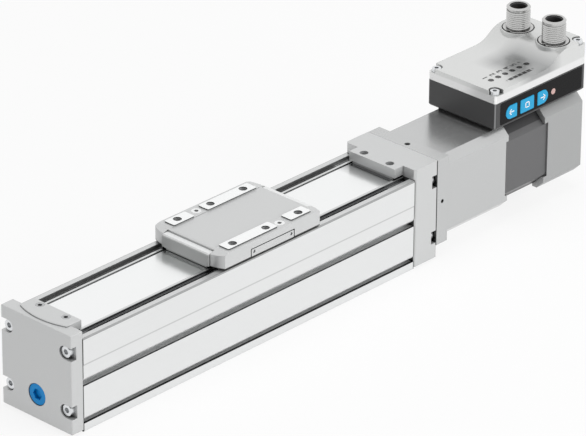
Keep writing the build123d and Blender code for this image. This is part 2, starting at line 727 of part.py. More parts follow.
clamp_screw = countersunk_screw(CLAMP_HEAD_R, CLAMP_SCREW_R, CLAMP_SCREW_L, CLAMP_HEX)
clamp_places = [(CLAMP_SCREW_X, side * CLAMP_SCREW_Y, CLAMP_TOP - 0.1) for side in (-1, 1)]
save_group([Pos(*place) * clamp_screw for place in clamp_places], "clamp_screws")

# Free-end bearing and the two end buffers
free_journal = FREE_JOURNAL_R + SEAT_GAP
save(
    ring(FREE_BEARING_R, free_journal, FREE_BEARING_X, FREE_BEARING_X + FREE_BEARING_L),
    "free_end_bearing",
)
buffer_places = [(SPIGOT_END, SPIGOT_END + BUFFER_L), (HEAD_SPIGOT_X - BUFFER_L, HEAD_SPIGOT_X)]
save_group([ring(BUFFER_R, BUFFER_BORE_R, *limits) for limits in buffer_places], "end_buffers")

# Head block with its tongue over the strip and its bearing seat
HEAD_BEARING_X = PROFILE_END + HEAD_WALL
with BuildPart() as head_block:
    with BuildSketch(Plane.YZ.offset(PROFILE_END)):
        with Locations((0, (CAP_BOTTOM + HEAD_TOP) / 2)):
            Rectangle(AXIS_W, HEAD_TOP - CAP_BOTTOM)
    extrude(amount=HEAD_L)
    chamfer(head_block.edges().filter_by(Axis.Z).group_by(Axis.X)[0], HEAD_EDGE)
    chamfer(head_block.faces().sort_by(Axis.X)[-1].edges(), SEAM_EDGE)
    reach = (HEAD_SPIGOT_X, PROFILE_END)
    block(reach, (-TONGUE_HALF, TONGUE_HALF), (TONGUE_BOTTOM, HEAD_TOP))
    land = (HEAD_SPIGOT_X + 0.5, PROFILE_END)
    block(land, (-STRIP_TAB_HALF, STRIP_TAB_HALF), (STRIP_TOP, TONGUE_BOTTOM))
    block(reach, (-SPIGOT_HALF, SPIGOT_HALF), (SPIGOT_BOTTOM, SPIGOT_TOP))
    slot_x = (PROFILE_END, PROFILE_END + STRIP_TAB_L + BODY_GAP)
    block(slot_x, TAB_SEAT_Y, (SPIGOT_TOP, STRIP_TOP), mode=Mode.SUBTRACT)
    screw_pockets(HOUSING_X - HEAD_POCKET_DEPTH, HOUSING_X + 1)
    for y, z in END_SCREWS:
        rod(END_SCREW_R + JOINT_GAP, PROFILE_END, HOUSING_X, y, z, mode=Mode.SUBTRACT)
    rod(SPINDLE_R + 1, HEAD_SPIGOT_X, HOUSING_X, mode=Mode.SUBTRACT)
    rod(FIXED_BEARING_R + SEAT_GAP, HEAD_BEARING_X, HOUSING_X, mode=Mode.SUBTRACT)
    rod(RETAINER_R + SEAT_GAP, HOUSING_X - RETAINER_L, HOUSING_X, mode=Mode.SUBTRACT)
    for side in (-1, 1):
        place = (HEAD_SPIGOT_X + SET_SCREW_X, side * CLAMP_SCREW_Y)
        post(SET_SCREW_R + SEAT_GAP, *place, STRIP_TOP, HEAD_TOP, mode=Mode.SUBTRACT)
    with BuildSketch(Plane.YZ.offset(HOUSING_X)):
        with Locations((0, SPINDLE_Z)):
            with PolarLocations(FLANGE_BOLT_CIRCLE_R, 4, 45):
                Circle(FLANGE_BOLT_R + SEAT_GAP)
    extrude(amount=-FLANGE_BOLT_DEPTH - BORE_MARGIN, mode=Mode.SUBTRACT)
save(head_block.part, "head_block")

head_shank = HEAD_L - HEAD_POCKET_DEPTH + END_THREAD_L
head_screw = socket_screw(END_HEAD_R, HEAD_HEAD_H, END_SCREW_R, head_shank, END_HEX)
head_screw_x = HOUSING_X - HEAD_POCKET_DEPTH + HEAD_HEAD_H
save_group([along_x(head_screw_x, y, z, 1) * head_screw for y, z in END_SCREWS], "head_screws")

with BuildPart() as set_screw:
    with Locations((0, 0, -SET_SCREW_L / 2)):
        Cylinder(SET_SCREW_R, SET_SCREW_L)
    with BuildSketch(Plane.XY):
        RegularPolygon(SET_SCREW_HEX / 2, 6, major_radius=False)
    extrude(amount=-SET_SCREW_L / 2, mode=Mode.SUBTRACT)
set_screw_z = STRIP_TOP + SET_SCREW_L
set_screw_places = [(HEAD_SPIGOT_X + SET_SCREW_X, side * CLAMP_SCREW_Y, set_screw_z) for side in (-1, 1)]
save_group([Pos(*place) * set_screw.part for place in set_screw_places], "strip_set_screws")

fixed_journal = FIXED_JOURNAL_R + SEAT_GAP
bearing_pair = []
for index in range(2):
    x = HEAD_BEARING_X + index * FIXED_BEARING_L
    bearing_pair.append(ring(FIXED_BEARING_R, fixed_journal, x, x + FIXED_BEARING_L))
save_group(bearing_pair, "fixed_bearings")
retainer_bore = LOCKNUT_R + BODY_GAP
save(ring(RETAINER_R, retainer_bore, HOUSING_X - RETAINER_L, HOUSING_X), "bearing_retainer")

# Ball screw spindle
FREE_SHOULDER = FREE_BEARING_X + FREE_BEARING_L + 0.5
FIXED_SHOULDER = HEAD_BEARING_X - 0.3
LOCKNUT_X = HEAD_BEARING_X + 2 * FIXED_BEARING_L + 0.2
HUB_X = LOCKNUT_X + LOCKNUT_L + 1.3
with BuildPart() as spindle:
    rod(FREE_JOURNAL_R, FREE_BEARING_X - 1.2, FREE_SHOULDER)
    rod(SPINDLE_R, FREE_SHOULDER, FIXED_SHOULDER)
    rod(FIXED_JOURNAL_R, FIXED_SHOULDER, HUB_X - 0.5)
    rod(HUB_JOURNAL_R, HUB_X - 0.5, HUB_X + HUB_L)
    spindle_ends = spindle.edges().filter_by(GeomType.CIRCLE).sort_by(Axis.X)
    chamfer([spindle_ends[0], spindle_ends[-1]], 0.4)
save(spindle.part, "spindle")
save(ring(LOCKNUT_R, FIXED_JOURNAL_R + SEAT_GAP, LOCKNUT_X, LOCKNUT_X + LOCKNUT_L), "lock_nut")


def wedges(outer, inner, angle, first, count):
    """Draws pie pieces of a ring about the spindle axis, in the sketch that is open."""
    reach = 2 * outer
    half_width = reach * math.tan(math.radians(angle / 2))
    with Locations((0, SPINDLE_Z)):
        with PolarLocations(0, count, first):
            Polygon((0, 0), (reach, -half_width), (reach, half_width), align=None)
        Circle(outer, mode=Mode.INTERSECT)
        Circle(inner, mode=Mode.SUBTRACT)


def jaw_hub(face_x, way, bore_r, first):
    """A clamping hub of the coupling: its jaws reach out from face_x along way."""
    back_x = face_x - way * HUB_L
    middle_x = (face_x + back_x) / 2
    with BuildPart() as hub:
        with BuildSketch(Plane.YZ.offset(face_x)):
            wedges(HUB_R, JAW_BORE_R, JAW_ANGLE, first, JAW_COUNT)
        extrude(amount=way * JAW_L)
        rod(HUB_R, *sorted((back_x, face_x)))
        rod(bore_r + SEAT_GAP, *sorted((back_x, face_x)), mode=Mode.SUBTRACT)
        split_x = sorted((back_x, face_x - way * 2))
        block(split_x, (-HUB_SLOT / 2, HUB_SLOT / 2), (SPINDLE_Z, SPINDLE_Z + HUB_R), mode=Mode.SUBTRACT)
        with Locations(Location((middle_x, 0, SPINDLE_Z + HUB_SCREW_RISE), (90, 0, 0))):
            Cylinder(HUB_SCREW_R + SEAT_GAP, 2 * HUB_R, mode=Mode.SUBTRACT)
        seat = (middle_x, -HUB_SCREW_SEAT - HUB_R / 2, SPINDLE_Z + HUB_SCREW_RISE)
        with Locations(Location(seat, (90, 0, 0))):
            Cylinder(HUB_SCREW_HEAD_R + JOINT_GAP, HUB_R, mode=Mode.SUBTRACT)
    return hub.part


# Jaw coupling: two clamping hubs with a star of rubber between their jaws
HUB_FACE = HUB_X + HUB_L
MOTOR_HUB_FACE = HUB_FACE + JAW_L + JAW_GAP
save(jaw_hub(HUB_FACE, 1, HUB_JOURNAL_R, SPINDLE_JAW_TURN), "spindle_hub")
save(jaw_hub(MOTOR_HUB_FACE, -1, SHAFT_R, MOTOR_JAW_TURN), "motor_hub")

with BuildPart() as coupling_star:
    with BuildSketch(Plane.YZ.offset(HUB_FACE + JAW_GAP / 2)):
        wedges(SPIDER_R, SPIDER_BORE_R, SPIDER_ANGLE, 0, 2 * JAW_COUNT)
        with Locations((0, SPINDLE_Z)):
            Circle(SPIDER_CORE_R)
            Circle(SPIDER_BORE_R, mode=Mode.SUBTRACT)
    extrude(amount=JAW_L)
save(coupling_star.part, "coupling_star")

hub_screw = socket_screw(HUB_SCREW_HEAD_R, HUB_SCREW_HEAD_H, HUB_SCREW_R, HUB_SCREW_L, SET_SCREW_HEX)
hub_screws = []
for middle_x in (HUB_X + HUB_L / 2, MOTOR_HUB_FACE + HUB_L / 2):
    head_top = (middle_x, -HUB_SCREW_SEAT - HUB_SCREW_HEAD_H, SPINDLE_Z + HUB_SCREW_RISE)
    hub_screws.append(Plane(origin=head_top, z_dir=(0, -1, 0)) * hub_screw)
save_group(hub_screws, "hub_screws")

# Coupling housing
with BuildPart() as coupling_housing:
    with BuildSketch(Plane.YZ.offset(HOUSING_X)):
        with Locations((0, (FLANGE_BOTTOM + FLANGE_TOP) / 2)):
            Rectangle(AXIS_W, FLANGE_TOP - FLANGE_BOTTOM)
    extrude(amount=FLANGE_L)
    chamfer(coupling_housing.faces().sort_by(Axis.X)[0].edges(), SEAM_EDGE)
    with BuildSketch(Plane.YZ.offset(HOUSING_BODY_X)) as body_section:
        with Locations((0, SPINDLE_Z)):
            Rectangle(MOTOR_W, MOTOR_W)
        chamfer(body_section.vertices(), MOTOR_CHAMFER)
    extrude(amount=HOUSING_L)
    rod(HOUSING_BORE_R, HOUSING_X + HOUSING_WALL, MOTOR_X, mode=Mode.SUBTRACT)
    rod(FLANGE_PILOT_R, HOUSING_X, HOUSING_X + HOUSING_WALL, mode=Mode.SUBTRACT)
    with BuildSketch(Plane.YZ.offset(HOUSING_X)):
        with Locations((0, SPINDLE_Z)):
            with PolarLocations(FLANGE_BOLT_CIRCLE_R, 4, 45):
                Circle(FLANGE_BOLT_R + JOINT_GAP)
    extrude(amount=HOUSING_WALL, mode=Mode.SUBTRACT)
    with BuildSketch(Plane.YZ.offset(MOTOR_X)):
        with Locations((0, SPINDLE_Z)):
            with GridLocations(2 * MOTOR_BOLT_HALF, 2 * MOTOR_BOLT_HALF, 2, 2):
                Circle(MOTOR_BOLT_R + SEAT_GAP)
    extrude(amount=-MOTOR_BOLT_THREAD - BORE_MARGIN, mode=Mode.SUBTRACT)
    top_hole_z = (FLANGE_TOP - SMALL_HOLE_DEPTH, FLANGE_TOP)
    post(TOP_HOLE_R, HOUSING_X + TOP_HOLE_X, 0, *top_hole_z, mode=Mode.SUBTRACT)
    with Locations(Location((HOUSING_X + SIDE_HOLE_X, -AXIS_HALF, SPINDLE_Z), (90, 0, 0))):
        Cylinder(SIDE_HOLE_R, 2 * SMALL_HOLE_DEPTH, mode=Mode.SUBTRACT)
save(coupling_housing.part, "coupling_housing")

flange_screw = socket_screw(
    FLANGE_BOLT_HEAD_R, FLANGE_BOLT_HEAD_H, FLANGE_BOLT_R, HOUSING_WALL + FLANGE_BOLT_DEPTH, SET_SCREW_HEX
)
flange_screws = []
for index in range(4):
    turn = math.radians(45 + 90 * index)
    y = FLANGE_BOLT_CIRCLE_R * math.cos(turn)
    z = SPINDLE_Z + FLANGE_BOLT_CIRCLE_R * math.sin(turn)
    flange_screws.append(along_x(HOUSING_X + HOUSING_WALL + FLANGE_BOLT_HEAD_H, y, z, 1) * flange_screw)
save_group(flange_screws, "flange_screws")


def motor_square(width, corner, mode=Mode.ADD):
    """Draws or cuts a chamfered square about the spindle axis, in the sketch that is open."""
    half = width / 2
    inner = half - corner
    points = [(half, inner), (inner, half), (-inner, half), (-half, inner)]
    points += [(-y, -z) for y, z in points]
    with Locations((0, SPINDLE_Z)):
        Polygon(*points, align=None, mode=mode)


with BuildSketch(Plane.YZ) as lug_section:
    motor_square(MOTOR_W, MOTOR_CHAMFER)
    with Locations((0, SPINDLE_Z)):
        Rectangle(MOTOR_W - 2 * LUG_REACH, MOTOR_W, mode=Mode.SUBTRACT)
        Rectangle(MOTOR_W, MOTOR_W - 2 * LUG_REACH, mode=Mode.SUBTRACT)
    motor_square(MOTOR_W - 2 * STATOR_INSET + 2 * JOINT_GAP, STATOR_CHAMFER, mode=Mode.SUBTRACT)
front_lugs = Pos(STATOR_X, 0, 0) * extrude(lug_section.sketch, amount=LUG_REAR)
rear_lugs = Pos(REAR_X - LUG_FRONT, 0, 0) * extrude(lug_section.sketch, amount=LUG_FRONT)
MOTOR_BOLTS = [
    (y, SPINDLE_Z + z)
    for y in (-MOTOR_BOLT_HALF, MOTOR_BOLT_HALF)
    for z in (-MOTOR_BOLT_HALF, MOTOR_BOLT_HALF)
]


def motor_bolt_holes(x0, x1):
    """Cuts the four holes of the motor's long screws, in the part that is open."""
    for y, z in MOTOR_BOLTS:
        rod(MOTOR_BOLT_R + JOINT_GAP, x0, x1, y, z, mode=Mode.SUBTRACT)


# Motor: front bell, stator and rear bell
MOTOR_BEARING_X = STATOR_X - 1.5 - MOTOR_BEARING_L
with BuildPart() as motor_front_bell:
    with BuildSketch(Plane.YZ.offset(MOTOR_X)):
        motor_square(MOTOR_W, MOTOR_CHAMFER)
    extrude(amount=FRONT_BELL_L)
    add(front_lugs)
    rod(HOUSING_BORE_R - RUN_GAP, MOTOR_X - PILOT_L, MOTOR_X)
    rod(MOTOR_BEARING_R + SEAT_GAP, MOTOR_BEARING_X, STATOR_X, mode=Mode.SUBTRACT)
    rod(SHAFT_R + BODY_GAP, MOTOR_X - PILOT_L, MOTOR_BEARING_X, mode=Mode.SUBTRACT)
    motor_bolt_holes(MOTOR_X, STATOR_X + LUG_REAR)
save(motor_front_bell.part, "motor_front_bell")

with BuildPart() as motor_stator:
    with BuildSketch(Plane.YZ.offset(STATOR_X)):
        motor_square(MOTOR_W - 2 * STATOR_INSET, STATOR_CHAMFER)
    extrude(amount=STATOR_L)
    rod(STATOR_BORE_R, STATOR_X, REAR_X, mode=Mode.SUBTRACT)
    motor_bolt_holes(STATOR_X, REAR_X)
save(motor_stator.part, "motor_stator")

REAR_STEP_X = REAR_X + ENCODER_X + ENCODER_T
with BuildPart() as motor_rear_bell:
    with BuildSketch(Plane.YZ.offset(REAR_X)):
        motor_square(MOTOR_W, MOTOR_CHAMFER)
    extrude(amount=REAR_BELL_L)
    chamfer(motor_rear_bell.faces().sort_by(Axis.X)[-1].edges(), REAR_EDGE)
    add(rear_lugs)
    rod(REAR_CAVITY_R, REAR_X, REAR_STEP_X, mode=Mode.SUBTRACT)
    rod(REAR_CAVITY_R - REAR_SHELF, REAR_STEP_X, MOTOR_END - REAR_WALL, mode=Mode.SUBTRACT)
    motor_bolt_holes(REAR_X - LUG_FRONT, MOTOR_END)
    head_bore = MOTOR_BOLT_HEAD_R + 2 * JOINT_GAP
    for y, z in MOTOR_BOLTS:
        rod(head_bore, MOTOR_END - MOTOR_BOLT_SUNK, MOTOR_END, y, z, mode=Mode.SUBTRACT)
save(motor_rear_bell.part, "motor_rear_bell")

bolt_seat_x = MOTOR_END - MOTOR_BOLT_SUNK
motor_bolt_l = bolt_seat_x - MOTOR_X + MOTOR_BOLT_THREAD
motor_bolt = socket_screw(MOTOR_BOLT_HEAD_R, MOTOR_BOLT_HEAD_H, MOTOR_BOLT_R, motor_bolt_l, END_HEX)
bolt_top_x = bolt_seat_x + MOTOR_BOLT_HEAD_H
save_group([along_x(bolt_top_x, y, z, 1) * motor_bolt for y, z in MOTOR_BOLTS], "motor_screws")

# Motor: bearings, bearing plate, encoder board and the turning parts
REAR_BEARING_X = REAR_X + 1.5
motor_journal = SHAFT_R + SEAT_GAP
motor_bearings = []
for x in (MOTOR_BEARING_X, REAR_BEARING_X):
    motor_bearings.append(ring(MOTOR_BEARING_R, motor_journal, x, x + MOTOR_BEARING_L))
save_group(motor_bearings, "motor_bearings")

with BuildPart() as bearing_plate:
    rod(REAR_CAVITY_R - SEAT_GAP, REAR_X, REAR_X + REAR_PLATE_L)
    rod(MOTOR_BEARING_R + SEAT_GAP, REAR_X, REAR_BEARING_X + MOTOR_BEARING_L, mode=Mode.SUBTRACT)
    rod(SHAFT_R + BODY_GAP, REAR_BEARING_X + MOTOR_BEARING_L, REAR_X + REAR_PLATE_L, mode=Mode.SUBTRACT)
save(bearing_plate.part, "bearing_plate")

with BuildPart() as encoder_board:
    rod(REAR_CAVITY_R - SEAT_GAP, REAR_X + ENCODER_X, REAR_STEP_X)
    block((REAR_X + ENCODER_X - 1, REAR_X + ENCODER_X), (-2.5, 2.5), (SPINDLE_Z - 2.5, SPINDLE_Z + 2.5))
save(encoder_board.part, "encoder_board")

ROTOR_X = STATOR_X + ROTOR_MARGIN
ROTOR_END = REAR_X - ROTOR_MARGIN
SHAFT_END = REAR_X + ENCODER_X - 4.0
with BuildPart() as motor_shaft:
    rod(SHAFT_R, MOTOR_X - SHAFT_OUT, SHAFT_END)
    shaft_ends = motor_shaft.edges().filter_by(GeomType.CIRCLE).sort_by(Axis.X)
    chamfer([shaft_ends[0], shaft_ends[-1]], 0.3)
save(motor_shaft.part, "motor_shaft")
save(ring(ROTOR_R, SHAFT_R + SEAT_GAP, ROTOR_X, ROTOR_END), "motor_rotor")
with BuildPart() as encoder_magnet:
    rod(MAGNET_R, SHAFT_END, SHAFT_END + MAGNET_L)
save(encoder_magnet.part, "encoder_magnet")

# Gasket between the motor and the drive box
with BuildPart() as drive_gasket:
    gasket_x = (DRIVE_X + GASKET_INSET, DRIVE_END - GASKET_INSET)
    gasket_half = MOTOR_HALF - MOTOR_CHAMFER
    block(gasket_x, (-gasket_half, gasket_half), (MOTOR_TOP, DRIVE_BOTTOM))
save(drive_gasket.part, "drive_gasket")

# Drive box base
DRIVE_MIDDLE = (DRIVE_X + DRIVE_END) / 2
FOIL_FACE = -DRIVE_HALF + FOIL_T
WALL_INSIDE = -DRIVE_HALF + DRIVE_WALL
LID_SCREWS = [
    (x, side * (DRIVE_HALF - LID_SCREW_INSET), top)
    for x, top in ((DRIVE_X + LID_SCREW_FRONT, LID_LOW), (DRIVE_END - LID_SCREW_REAR, LID_HIGH))
    for side in (-1, 1)
]
BOARD_X = (DRIVE_X + BOARD_MARGIN, DRIVE_END - BOARD_MARGIN)
STANDOFF_X = (BOARD_X[0] + STANDOFF_INSET, BOARD_X[1] - STANDOFF_INSET)
STANDOFFS = [(x, y) for x in STANDOFF_X for y in STANDOFF_Y]


def button_outline(name, grow):
    """Draws a push button's face, grown by a margin, in the sketch that is open."""
    x0, x1 = BUTTONS[name]
    way = BUTTON_ROUND[name]
    length = x1 - x0 + 2 * grow
    height = BUTTON_H + 2 * grow
    square_l = length - abs(way) * height / 2
    with Locations((DRIVE_X + (x0 + x1) / 2, sum(BUTTON_Z) / 2)):
        with Locations((-way * height / 4, 0)):
            RectangleRounded(square_l, height, BUTTON_CORNER + max(grow, 0))
        if way:
            with Locations((way * (length - height) / 2, 0)):
                Circle(height / 2)
                with Locations((-way * height / 8, 0)):
                    Rectangle(height / 4, height)


with BuildPart() as drive_base:
    with BuildSketch(Plane.XY.offset(DRIVE_BOTTOM)):
        with Locations((DRIVE_MIDDLE, 0)):
            RectangleRounded(DRIVE_L, DRIVE_W, DRIVE_CORNER)
    extrude(amount=DRIVE_JOINT - DRIVE_BOTTOM)
    chamfer(drive_base.faces().sort_by(Axis.Z)[0].edges(), BASE_EDGE)
    inside_x = (DRIVE_X + DRIVE_WALL, DRIVE_END - DRIVE_WALL)
    inside_y = (WALL_INSIDE, -WALL_INSIDE)
    block(inside_x, inside_y, (DRIVE_FLOOR, DRIVE_JOINT), mode=Mode.SUBTRACT)
    for x, y, top in LID_SCREWS:
        post(POST_R, x, y, DRIVE_FLOOR, DRIVE_JOINT)
    for x, y in STANDOFFS:
        post(STANDOFF_R, x, y, DRIVE_FLOOR, DRIVE_FLOOR + STANDOFF_H)
    with BuildSketch(Plane.XY.offset(DRIVE_BOTTOM)):
        with Locations((DRIVE_MIDDLE, 0)):
            RectangleRounded(DRIVE_L, DRIVE_W, DRIVE_CORNER)
    extrude(amount=DRIVE_JOINT - DRIVE_BOTTOM, mode=Mode.INTERSECT)
    for x, y, top in LID_SCREWS:
        post(LID_SCREW_R + SEAT_GAP, x, y, DRIVE_FLOOR + 2, DRIVE_JOINT, mode=Mode.SUBTRACT)
    with BuildSketch(Plane.XZ.offset(DRIVE_HALF)):
        with Locations((sum(FOIL_X) / 2, sum(FOIL_Z) / 2)):
            RectangleRounded(FOIL_X[1] - FOIL_X[0], FOIL_Z[1] - FOIL_Z[0], FOIL_CORNER)
    extrude(amount=-FOIL_T, mode=Mode.SUBTRACT)
    with BuildSketch(Plane.XZ.offset(-FOIL_FACE)):
        for name in BUTTONS:
            button_outline(name, BUTTON_GAP)
        with Locations((DRIVE_X + STATUS_X, STATUS_Z)):
            Circle(STATUS_R + SEAT_GAP)
    extrude(amount=-(DRIVE_WALL - FOIL_T), mode=Mode.SUBTRACT)
save(drive_base.part, "drive_base")

with BuildPart() as button_foil:
    with BuildSketch(Plane.XZ.offset(-FOIL_FACE)):
        with Locations((sum(FOIL_X) / 2, sum(FOIL_Z) / 2)):
            foil_size = (FOIL_X[1] - FOIL_X[0], FOIL_Z[1] - FOIL_Z[0])
            RectangleRounded(*[size - 2 * JOINT_GAP for size in foil_size], FOIL_CORNER - JOINT_GAP)
    extrude(amount=FOIL_T)
    with BuildSketch(Plane.XZ.offset(-FOIL_FACE)):
        for name in BUTTONS:
            button_outline(name, BUTTON_GAP)
        with Locations((DRIVE_X + STATUS_X, STATUS_Z)):
            Circle(STATUS_R + SEAT_GAP)
    extrude(amount=FOIL_T, mode=Mode.SUBTRACT)
save(button_foil.part, "button_foil")

# Push buttons, each with a rim behind the wall
BUTTON_FACE = -DRIVE_HALF - BUTTON_PROUD
RIM_FACE = WALL_INSIDE + BUTTON_RIM_GAP
for name in BUTTONS:
    with BuildPart() as button:
        with BuildSketch(Plane.XZ.offset(-BUTTON_FACE)):
            button_outline(name, 0)
        extrude(amount=-(RIM_FACE - BUTTON_FACE))
        chamfer(button.faces().sort_by(Axis.Y)[0].edges(), 0.2)
        with BuildSketch(Plane.XZ.offset(-RIM_FACE)):
            button_outline(name, BUTTON_RIM)
        extrude(amount=-BUTTON_RIM_T)
    save(button.part, name)

# Switch board with a switch behind each button
SWITCH_FACE = RIM_FACE + BUTTON_RIM_T + BUTTON_TRAVEL + SWITCH_GAP
SWITCH_BOARD_Y = (SWITCH_FACE + SWITCH_T, SWITCH_FACE + SWITCH_T + BOARD_T)
with BuildPart() as switch_board:
    switch_board_x = tuple(DRIVE_X + x for x in SWITCH_BOARD_X)
    block(switch_board_x, SWITCH_BOARD_Y, (DRIVE_FLOOR, DRIVE_FLOOR + SWITCH_BOARD_H))
    for x0, x1 in BUTTONS.values():
        middle_x = DRIVE_X + (x0 + x1) / 2
        middle_z = sum(BUTTON_Z) / 2
        limits_x = (middle_x - SWITCH_HALF, middle_x + SWITCH_HALF)
        limits_z = (middle_z - SWITCH_HALF, middle_z + SWITCH_HALF)
        block(limits_x, (SWITCH_FACE, SWITCH_BOARD_Y[0]), limits_z)
save(switch_board.part, "switch_board")

with BuildPart() as status_light:
    middle_y = (SWITCH_BOARD_Y[0] - DRIVE_HALF) / 2
    with Locations(Location((DRIVE_X + STATUS_X, middle_y, STATUS_Z), (90, 0, 0))):
        Cylinder(STATUS_R, SWITCH_BOARD_Y[0] + DRIVE_HALF)
save(status_light.part, "status_light")

# Control board on its standoffs
with BuildPart() as control_board:
    board_z = DRIVE_FLOOR + STANDOFF_H
    board_top = board_z + BOARD_T
    board_y = (SWITCH_BOARD_Y[1] + 1.0, DRIVE_HALF - BOARD_SIDE)
    block(BOARD_X, board_y, (board_z, board_top))
    for x, y, top in LID_SCREWS:
        post(POST_R + BODY_GAP, x, y, board_z, board_top, mode=Mode.SUBTRACT)
    chip_x = (DRIVE_MIDDLE - CHIP_HALF, DRIVE_MIDDLE + CHIP_HALF)
    block(chip_x, (-CHIP_HALF, CHIP_HALF), (board_top, board_top + CHIP_T))
    for y in CAPACITOR_Y:
        post(CAPACITOR_R, BOARD_X[0] + CAPACITOR_INSET, y, board_top, board_top + CAPACITOR_H)
save(control_board.part, "control_board")


def lid_shell(drop):
    """The lid's outline from the side, lowered and drawn in by the thickness of its skin."""
    x0 = DRIVE_X + drop
    x1 = DRIVE_END - drop
    low = LID_LOW - drop
    high = LID_HIGH - drop
    rise0 = DRIVE_X + RISE_START + drop / 2
    rise1 = rise0 + RISE_L
    pull = RISE_L * RISE_PULL
    with BuildSketch(Plane.XZ) as outline:
        with BuildLine():
            Polyline((rise0, low), (x0, low), (x0, DRIVE_JOINT), (x1, DRIVE_JOINT), (x1, high), (rise1, high))
            Bezier((rise0, low), (rise0 + pull, low), (rise1 - pull, high), (rise1, high))
        make_face()
    return outline.sketch


lid_outside = extrude(lid_shell(0), amount=DRIVE_HALF, both=True)
lid_inside = extrude(lid_shell(LID_T), amount=DRIVE_HALF - DRIVE_WALL, both=True)
SOCKET_PLACES = [(DRIVE_END - SOCKET_INSET, side * SOCKET_Y) for side in (-1, 1)]
LID_CEILING = LID_HIGH - LID_T
SOCKET_SEAT_Z = LID_HIGH - SHELL_RECESS - SHELL_SKIN
LED_PLACES = [(DRIVE_X + LED_X + index * LED_PITCH, LED_Y) for index in range(LED_COUNT)]
BAR_PLACES = [(DRIVE_X + BAR_X + (index + 0.5) * BAR_PITCH, BAR_Y) for index in range(BAR_COUNT)]

# Drive box lid with its raised end
with BuildPart() as drive_lid:
    add(lid_outside)
    add(lid_inside, mode=Mode.SUBTRACT)
    for x, y, top in LID_SCREWS:
        post(POST_R, x, y, DRIVE_JOINT, top - LID_T / 2)
    for x, y in SOCKET_PLACES:
        post(SHELL_BOSS_R, x, y, LID_CEILING - 1.0, LID_HIGH)
        post(SHELL_NUT_R + BODY_GAP, x, y, DRIVE_JOINT, SOCKET_SEAT_Z, mode=Mode.SUBTRACT)
    with BuildSketch(Plane.XY.offset(DRIVE_JOINT)):
        with Locations((DRIVE_MIDDLE, 0)):
            RectangleRounded(DRIVE_L, DRIVE_W, DRIVE_CORNER)
    extrude(amount=LID_HIGH - DRIVE_JOINT, mode=Mode.INTERSECT)
    for x, y, top in LID_SCREWS:
        floor_z = top - LID_HEAD_DEPTH
        edge = sorted((y, math.copysign(DRIVE_HALF + 1, y)))
        post(LID_BORE_R, x, y, floor_z, LID_HIGH + 1, mode=Mode.SUBTRACT)
        block((x - LID_BORE_R, x + LID_BORE_R), edge, (floor_z, LID_HIGH + 1), mode=Mode.SUBTRACT)
        post(LID_SCREW_R + JOINT_GAP, x, y, DRIVE_JOINT, floor_z, mode=Mode.SUBTRACT)
    for x, y in SOCKET_PLACES:
        post(SHELL_RECESS_R, x, y, LID_HIGH - SHELL_RECESS, LID_HIGH + 1, mode=Mode.SUBTRACT)
        post(SHELL_NECK_R + SEAT_GAP, x, y, DRIVE_JOINT, LID_HIGH, mode=Mode.SUBTRACT)
    for x, y in LED_PLACES:
        post(LED_R + SEAT_GAP, x, y, LID_LOW - LID_T, LID_HIGH, mode=Mode.SUBTRACT)
    with BuildSketch(Plane.XY.offset(LID_LOW)):
        with Locations(*BAR_PLACES):
            Rectangle(*[size + 2 * SEAT_GAP for size in BAR_SIZE])
    extrude(amount=-BAR_DEPTH, mode=Mode.SUBTRACT)
save(drive_lid.part, "drive_lid")

lid_screws = []
for x, y, top in LID_SCREWS:
    floor_z = top - LID_HEAD_DEPTH
    screw_l = floor_z - DRIVE_FLOOR - 3
    screw = socket_screw(LID_HEAD_R, LID_HEAD_H, LID_SCREW_R, screw_l, SET_SCREW_HEX)
    lid_screws.append(Pos(x, y, floor_z + LID_HEAD_H) * screw)
save_group(lid_screws, "lid_screws")

windows = []
for x, y in LED_PLACES:
    with BuildPart() as window:
        post(LED_R, x, y, LID_LOW - LID_T, LID_LOW - JOINT_GAP)
    windows.append(window.part)
save_group(windows, "status_windows")
segments = []
for x, y in BAR_PLACES:
    with BuildPart() as segment:
        half_x, half_y = (size / 2 for size in BAR_SIZE)
        heights = (LID_LOW - BAR_DEPTH, LID_LOW - JOINT_GAP / 2)
        block((x - half_x, x + half_x), (y - half_y, y + half_y), heights)
    segments.append(segment.part)
save_group(segments, "position_bar")


def socket_shell(x, y):
    """A threaded connector shell turned about its own upright axis."""
    seat = LID_HIGH - SHELL_RECESS
    flange = seat + SHELL_FLANGE_T
    with BuildPart() as shell:
        with BuildSketch(Plane.XZ):
            with BuildLine():
                Polyline(
                    (THREAD_BORE_R, SHELL_BOTTOM),
                    (SHELL_NECK_R, SHELL_BOTTOM),
                    (SHELL_NECK_R, seat),
                    (SHELL_FLANGE_R, seat),
                    (SHELL_FLANGE_R, flange),
                    (THREAD_R - SHELL_GROOVE, flange),
                    (THREAD_R - SHELL_GROOVE, flange + SHELL_GROOVE),
                    (THREAD_R, flange + 2 * SHELL_GROOVE),
                    (THREAD_R, THREAD_TOP - 3 * SHELL_LIP),
                    (THREAD_R - SHELL_GROOVE, THREAD_TOP - 2.5 * SHELL_LIP),
                    (THREAD_R - SHELL_GROOVE, THREAD_TOP - 2 * SHELL_LIP),
                    (THREAD_R, THREAD_TOP - 1.5 * SHELL_LIP),
                    (THREAD_R, THREAD_TOP - SHELL_LIP),
                    (THREAD_R - SHELL_LIP, THREAD_TOP),
                    (THREAD_BORE_R, THREAD_TOP),
                    close=True,
                )
            make_face()
        revolve(axis=Axis.Z)
        notch_x = (-SHELL_FLANGE_R - 1, -SHELL_FLANGE_R + 1.1)
        block(notch_x, (-0.6, 0.6), (seat, flange), mode=Mode.SUBTRACT)
    return Pos(x, y, 0) * shell.part


save_group([socket_shell(x, y) for x, y in SOCKET_PLACES], "socket_shells")


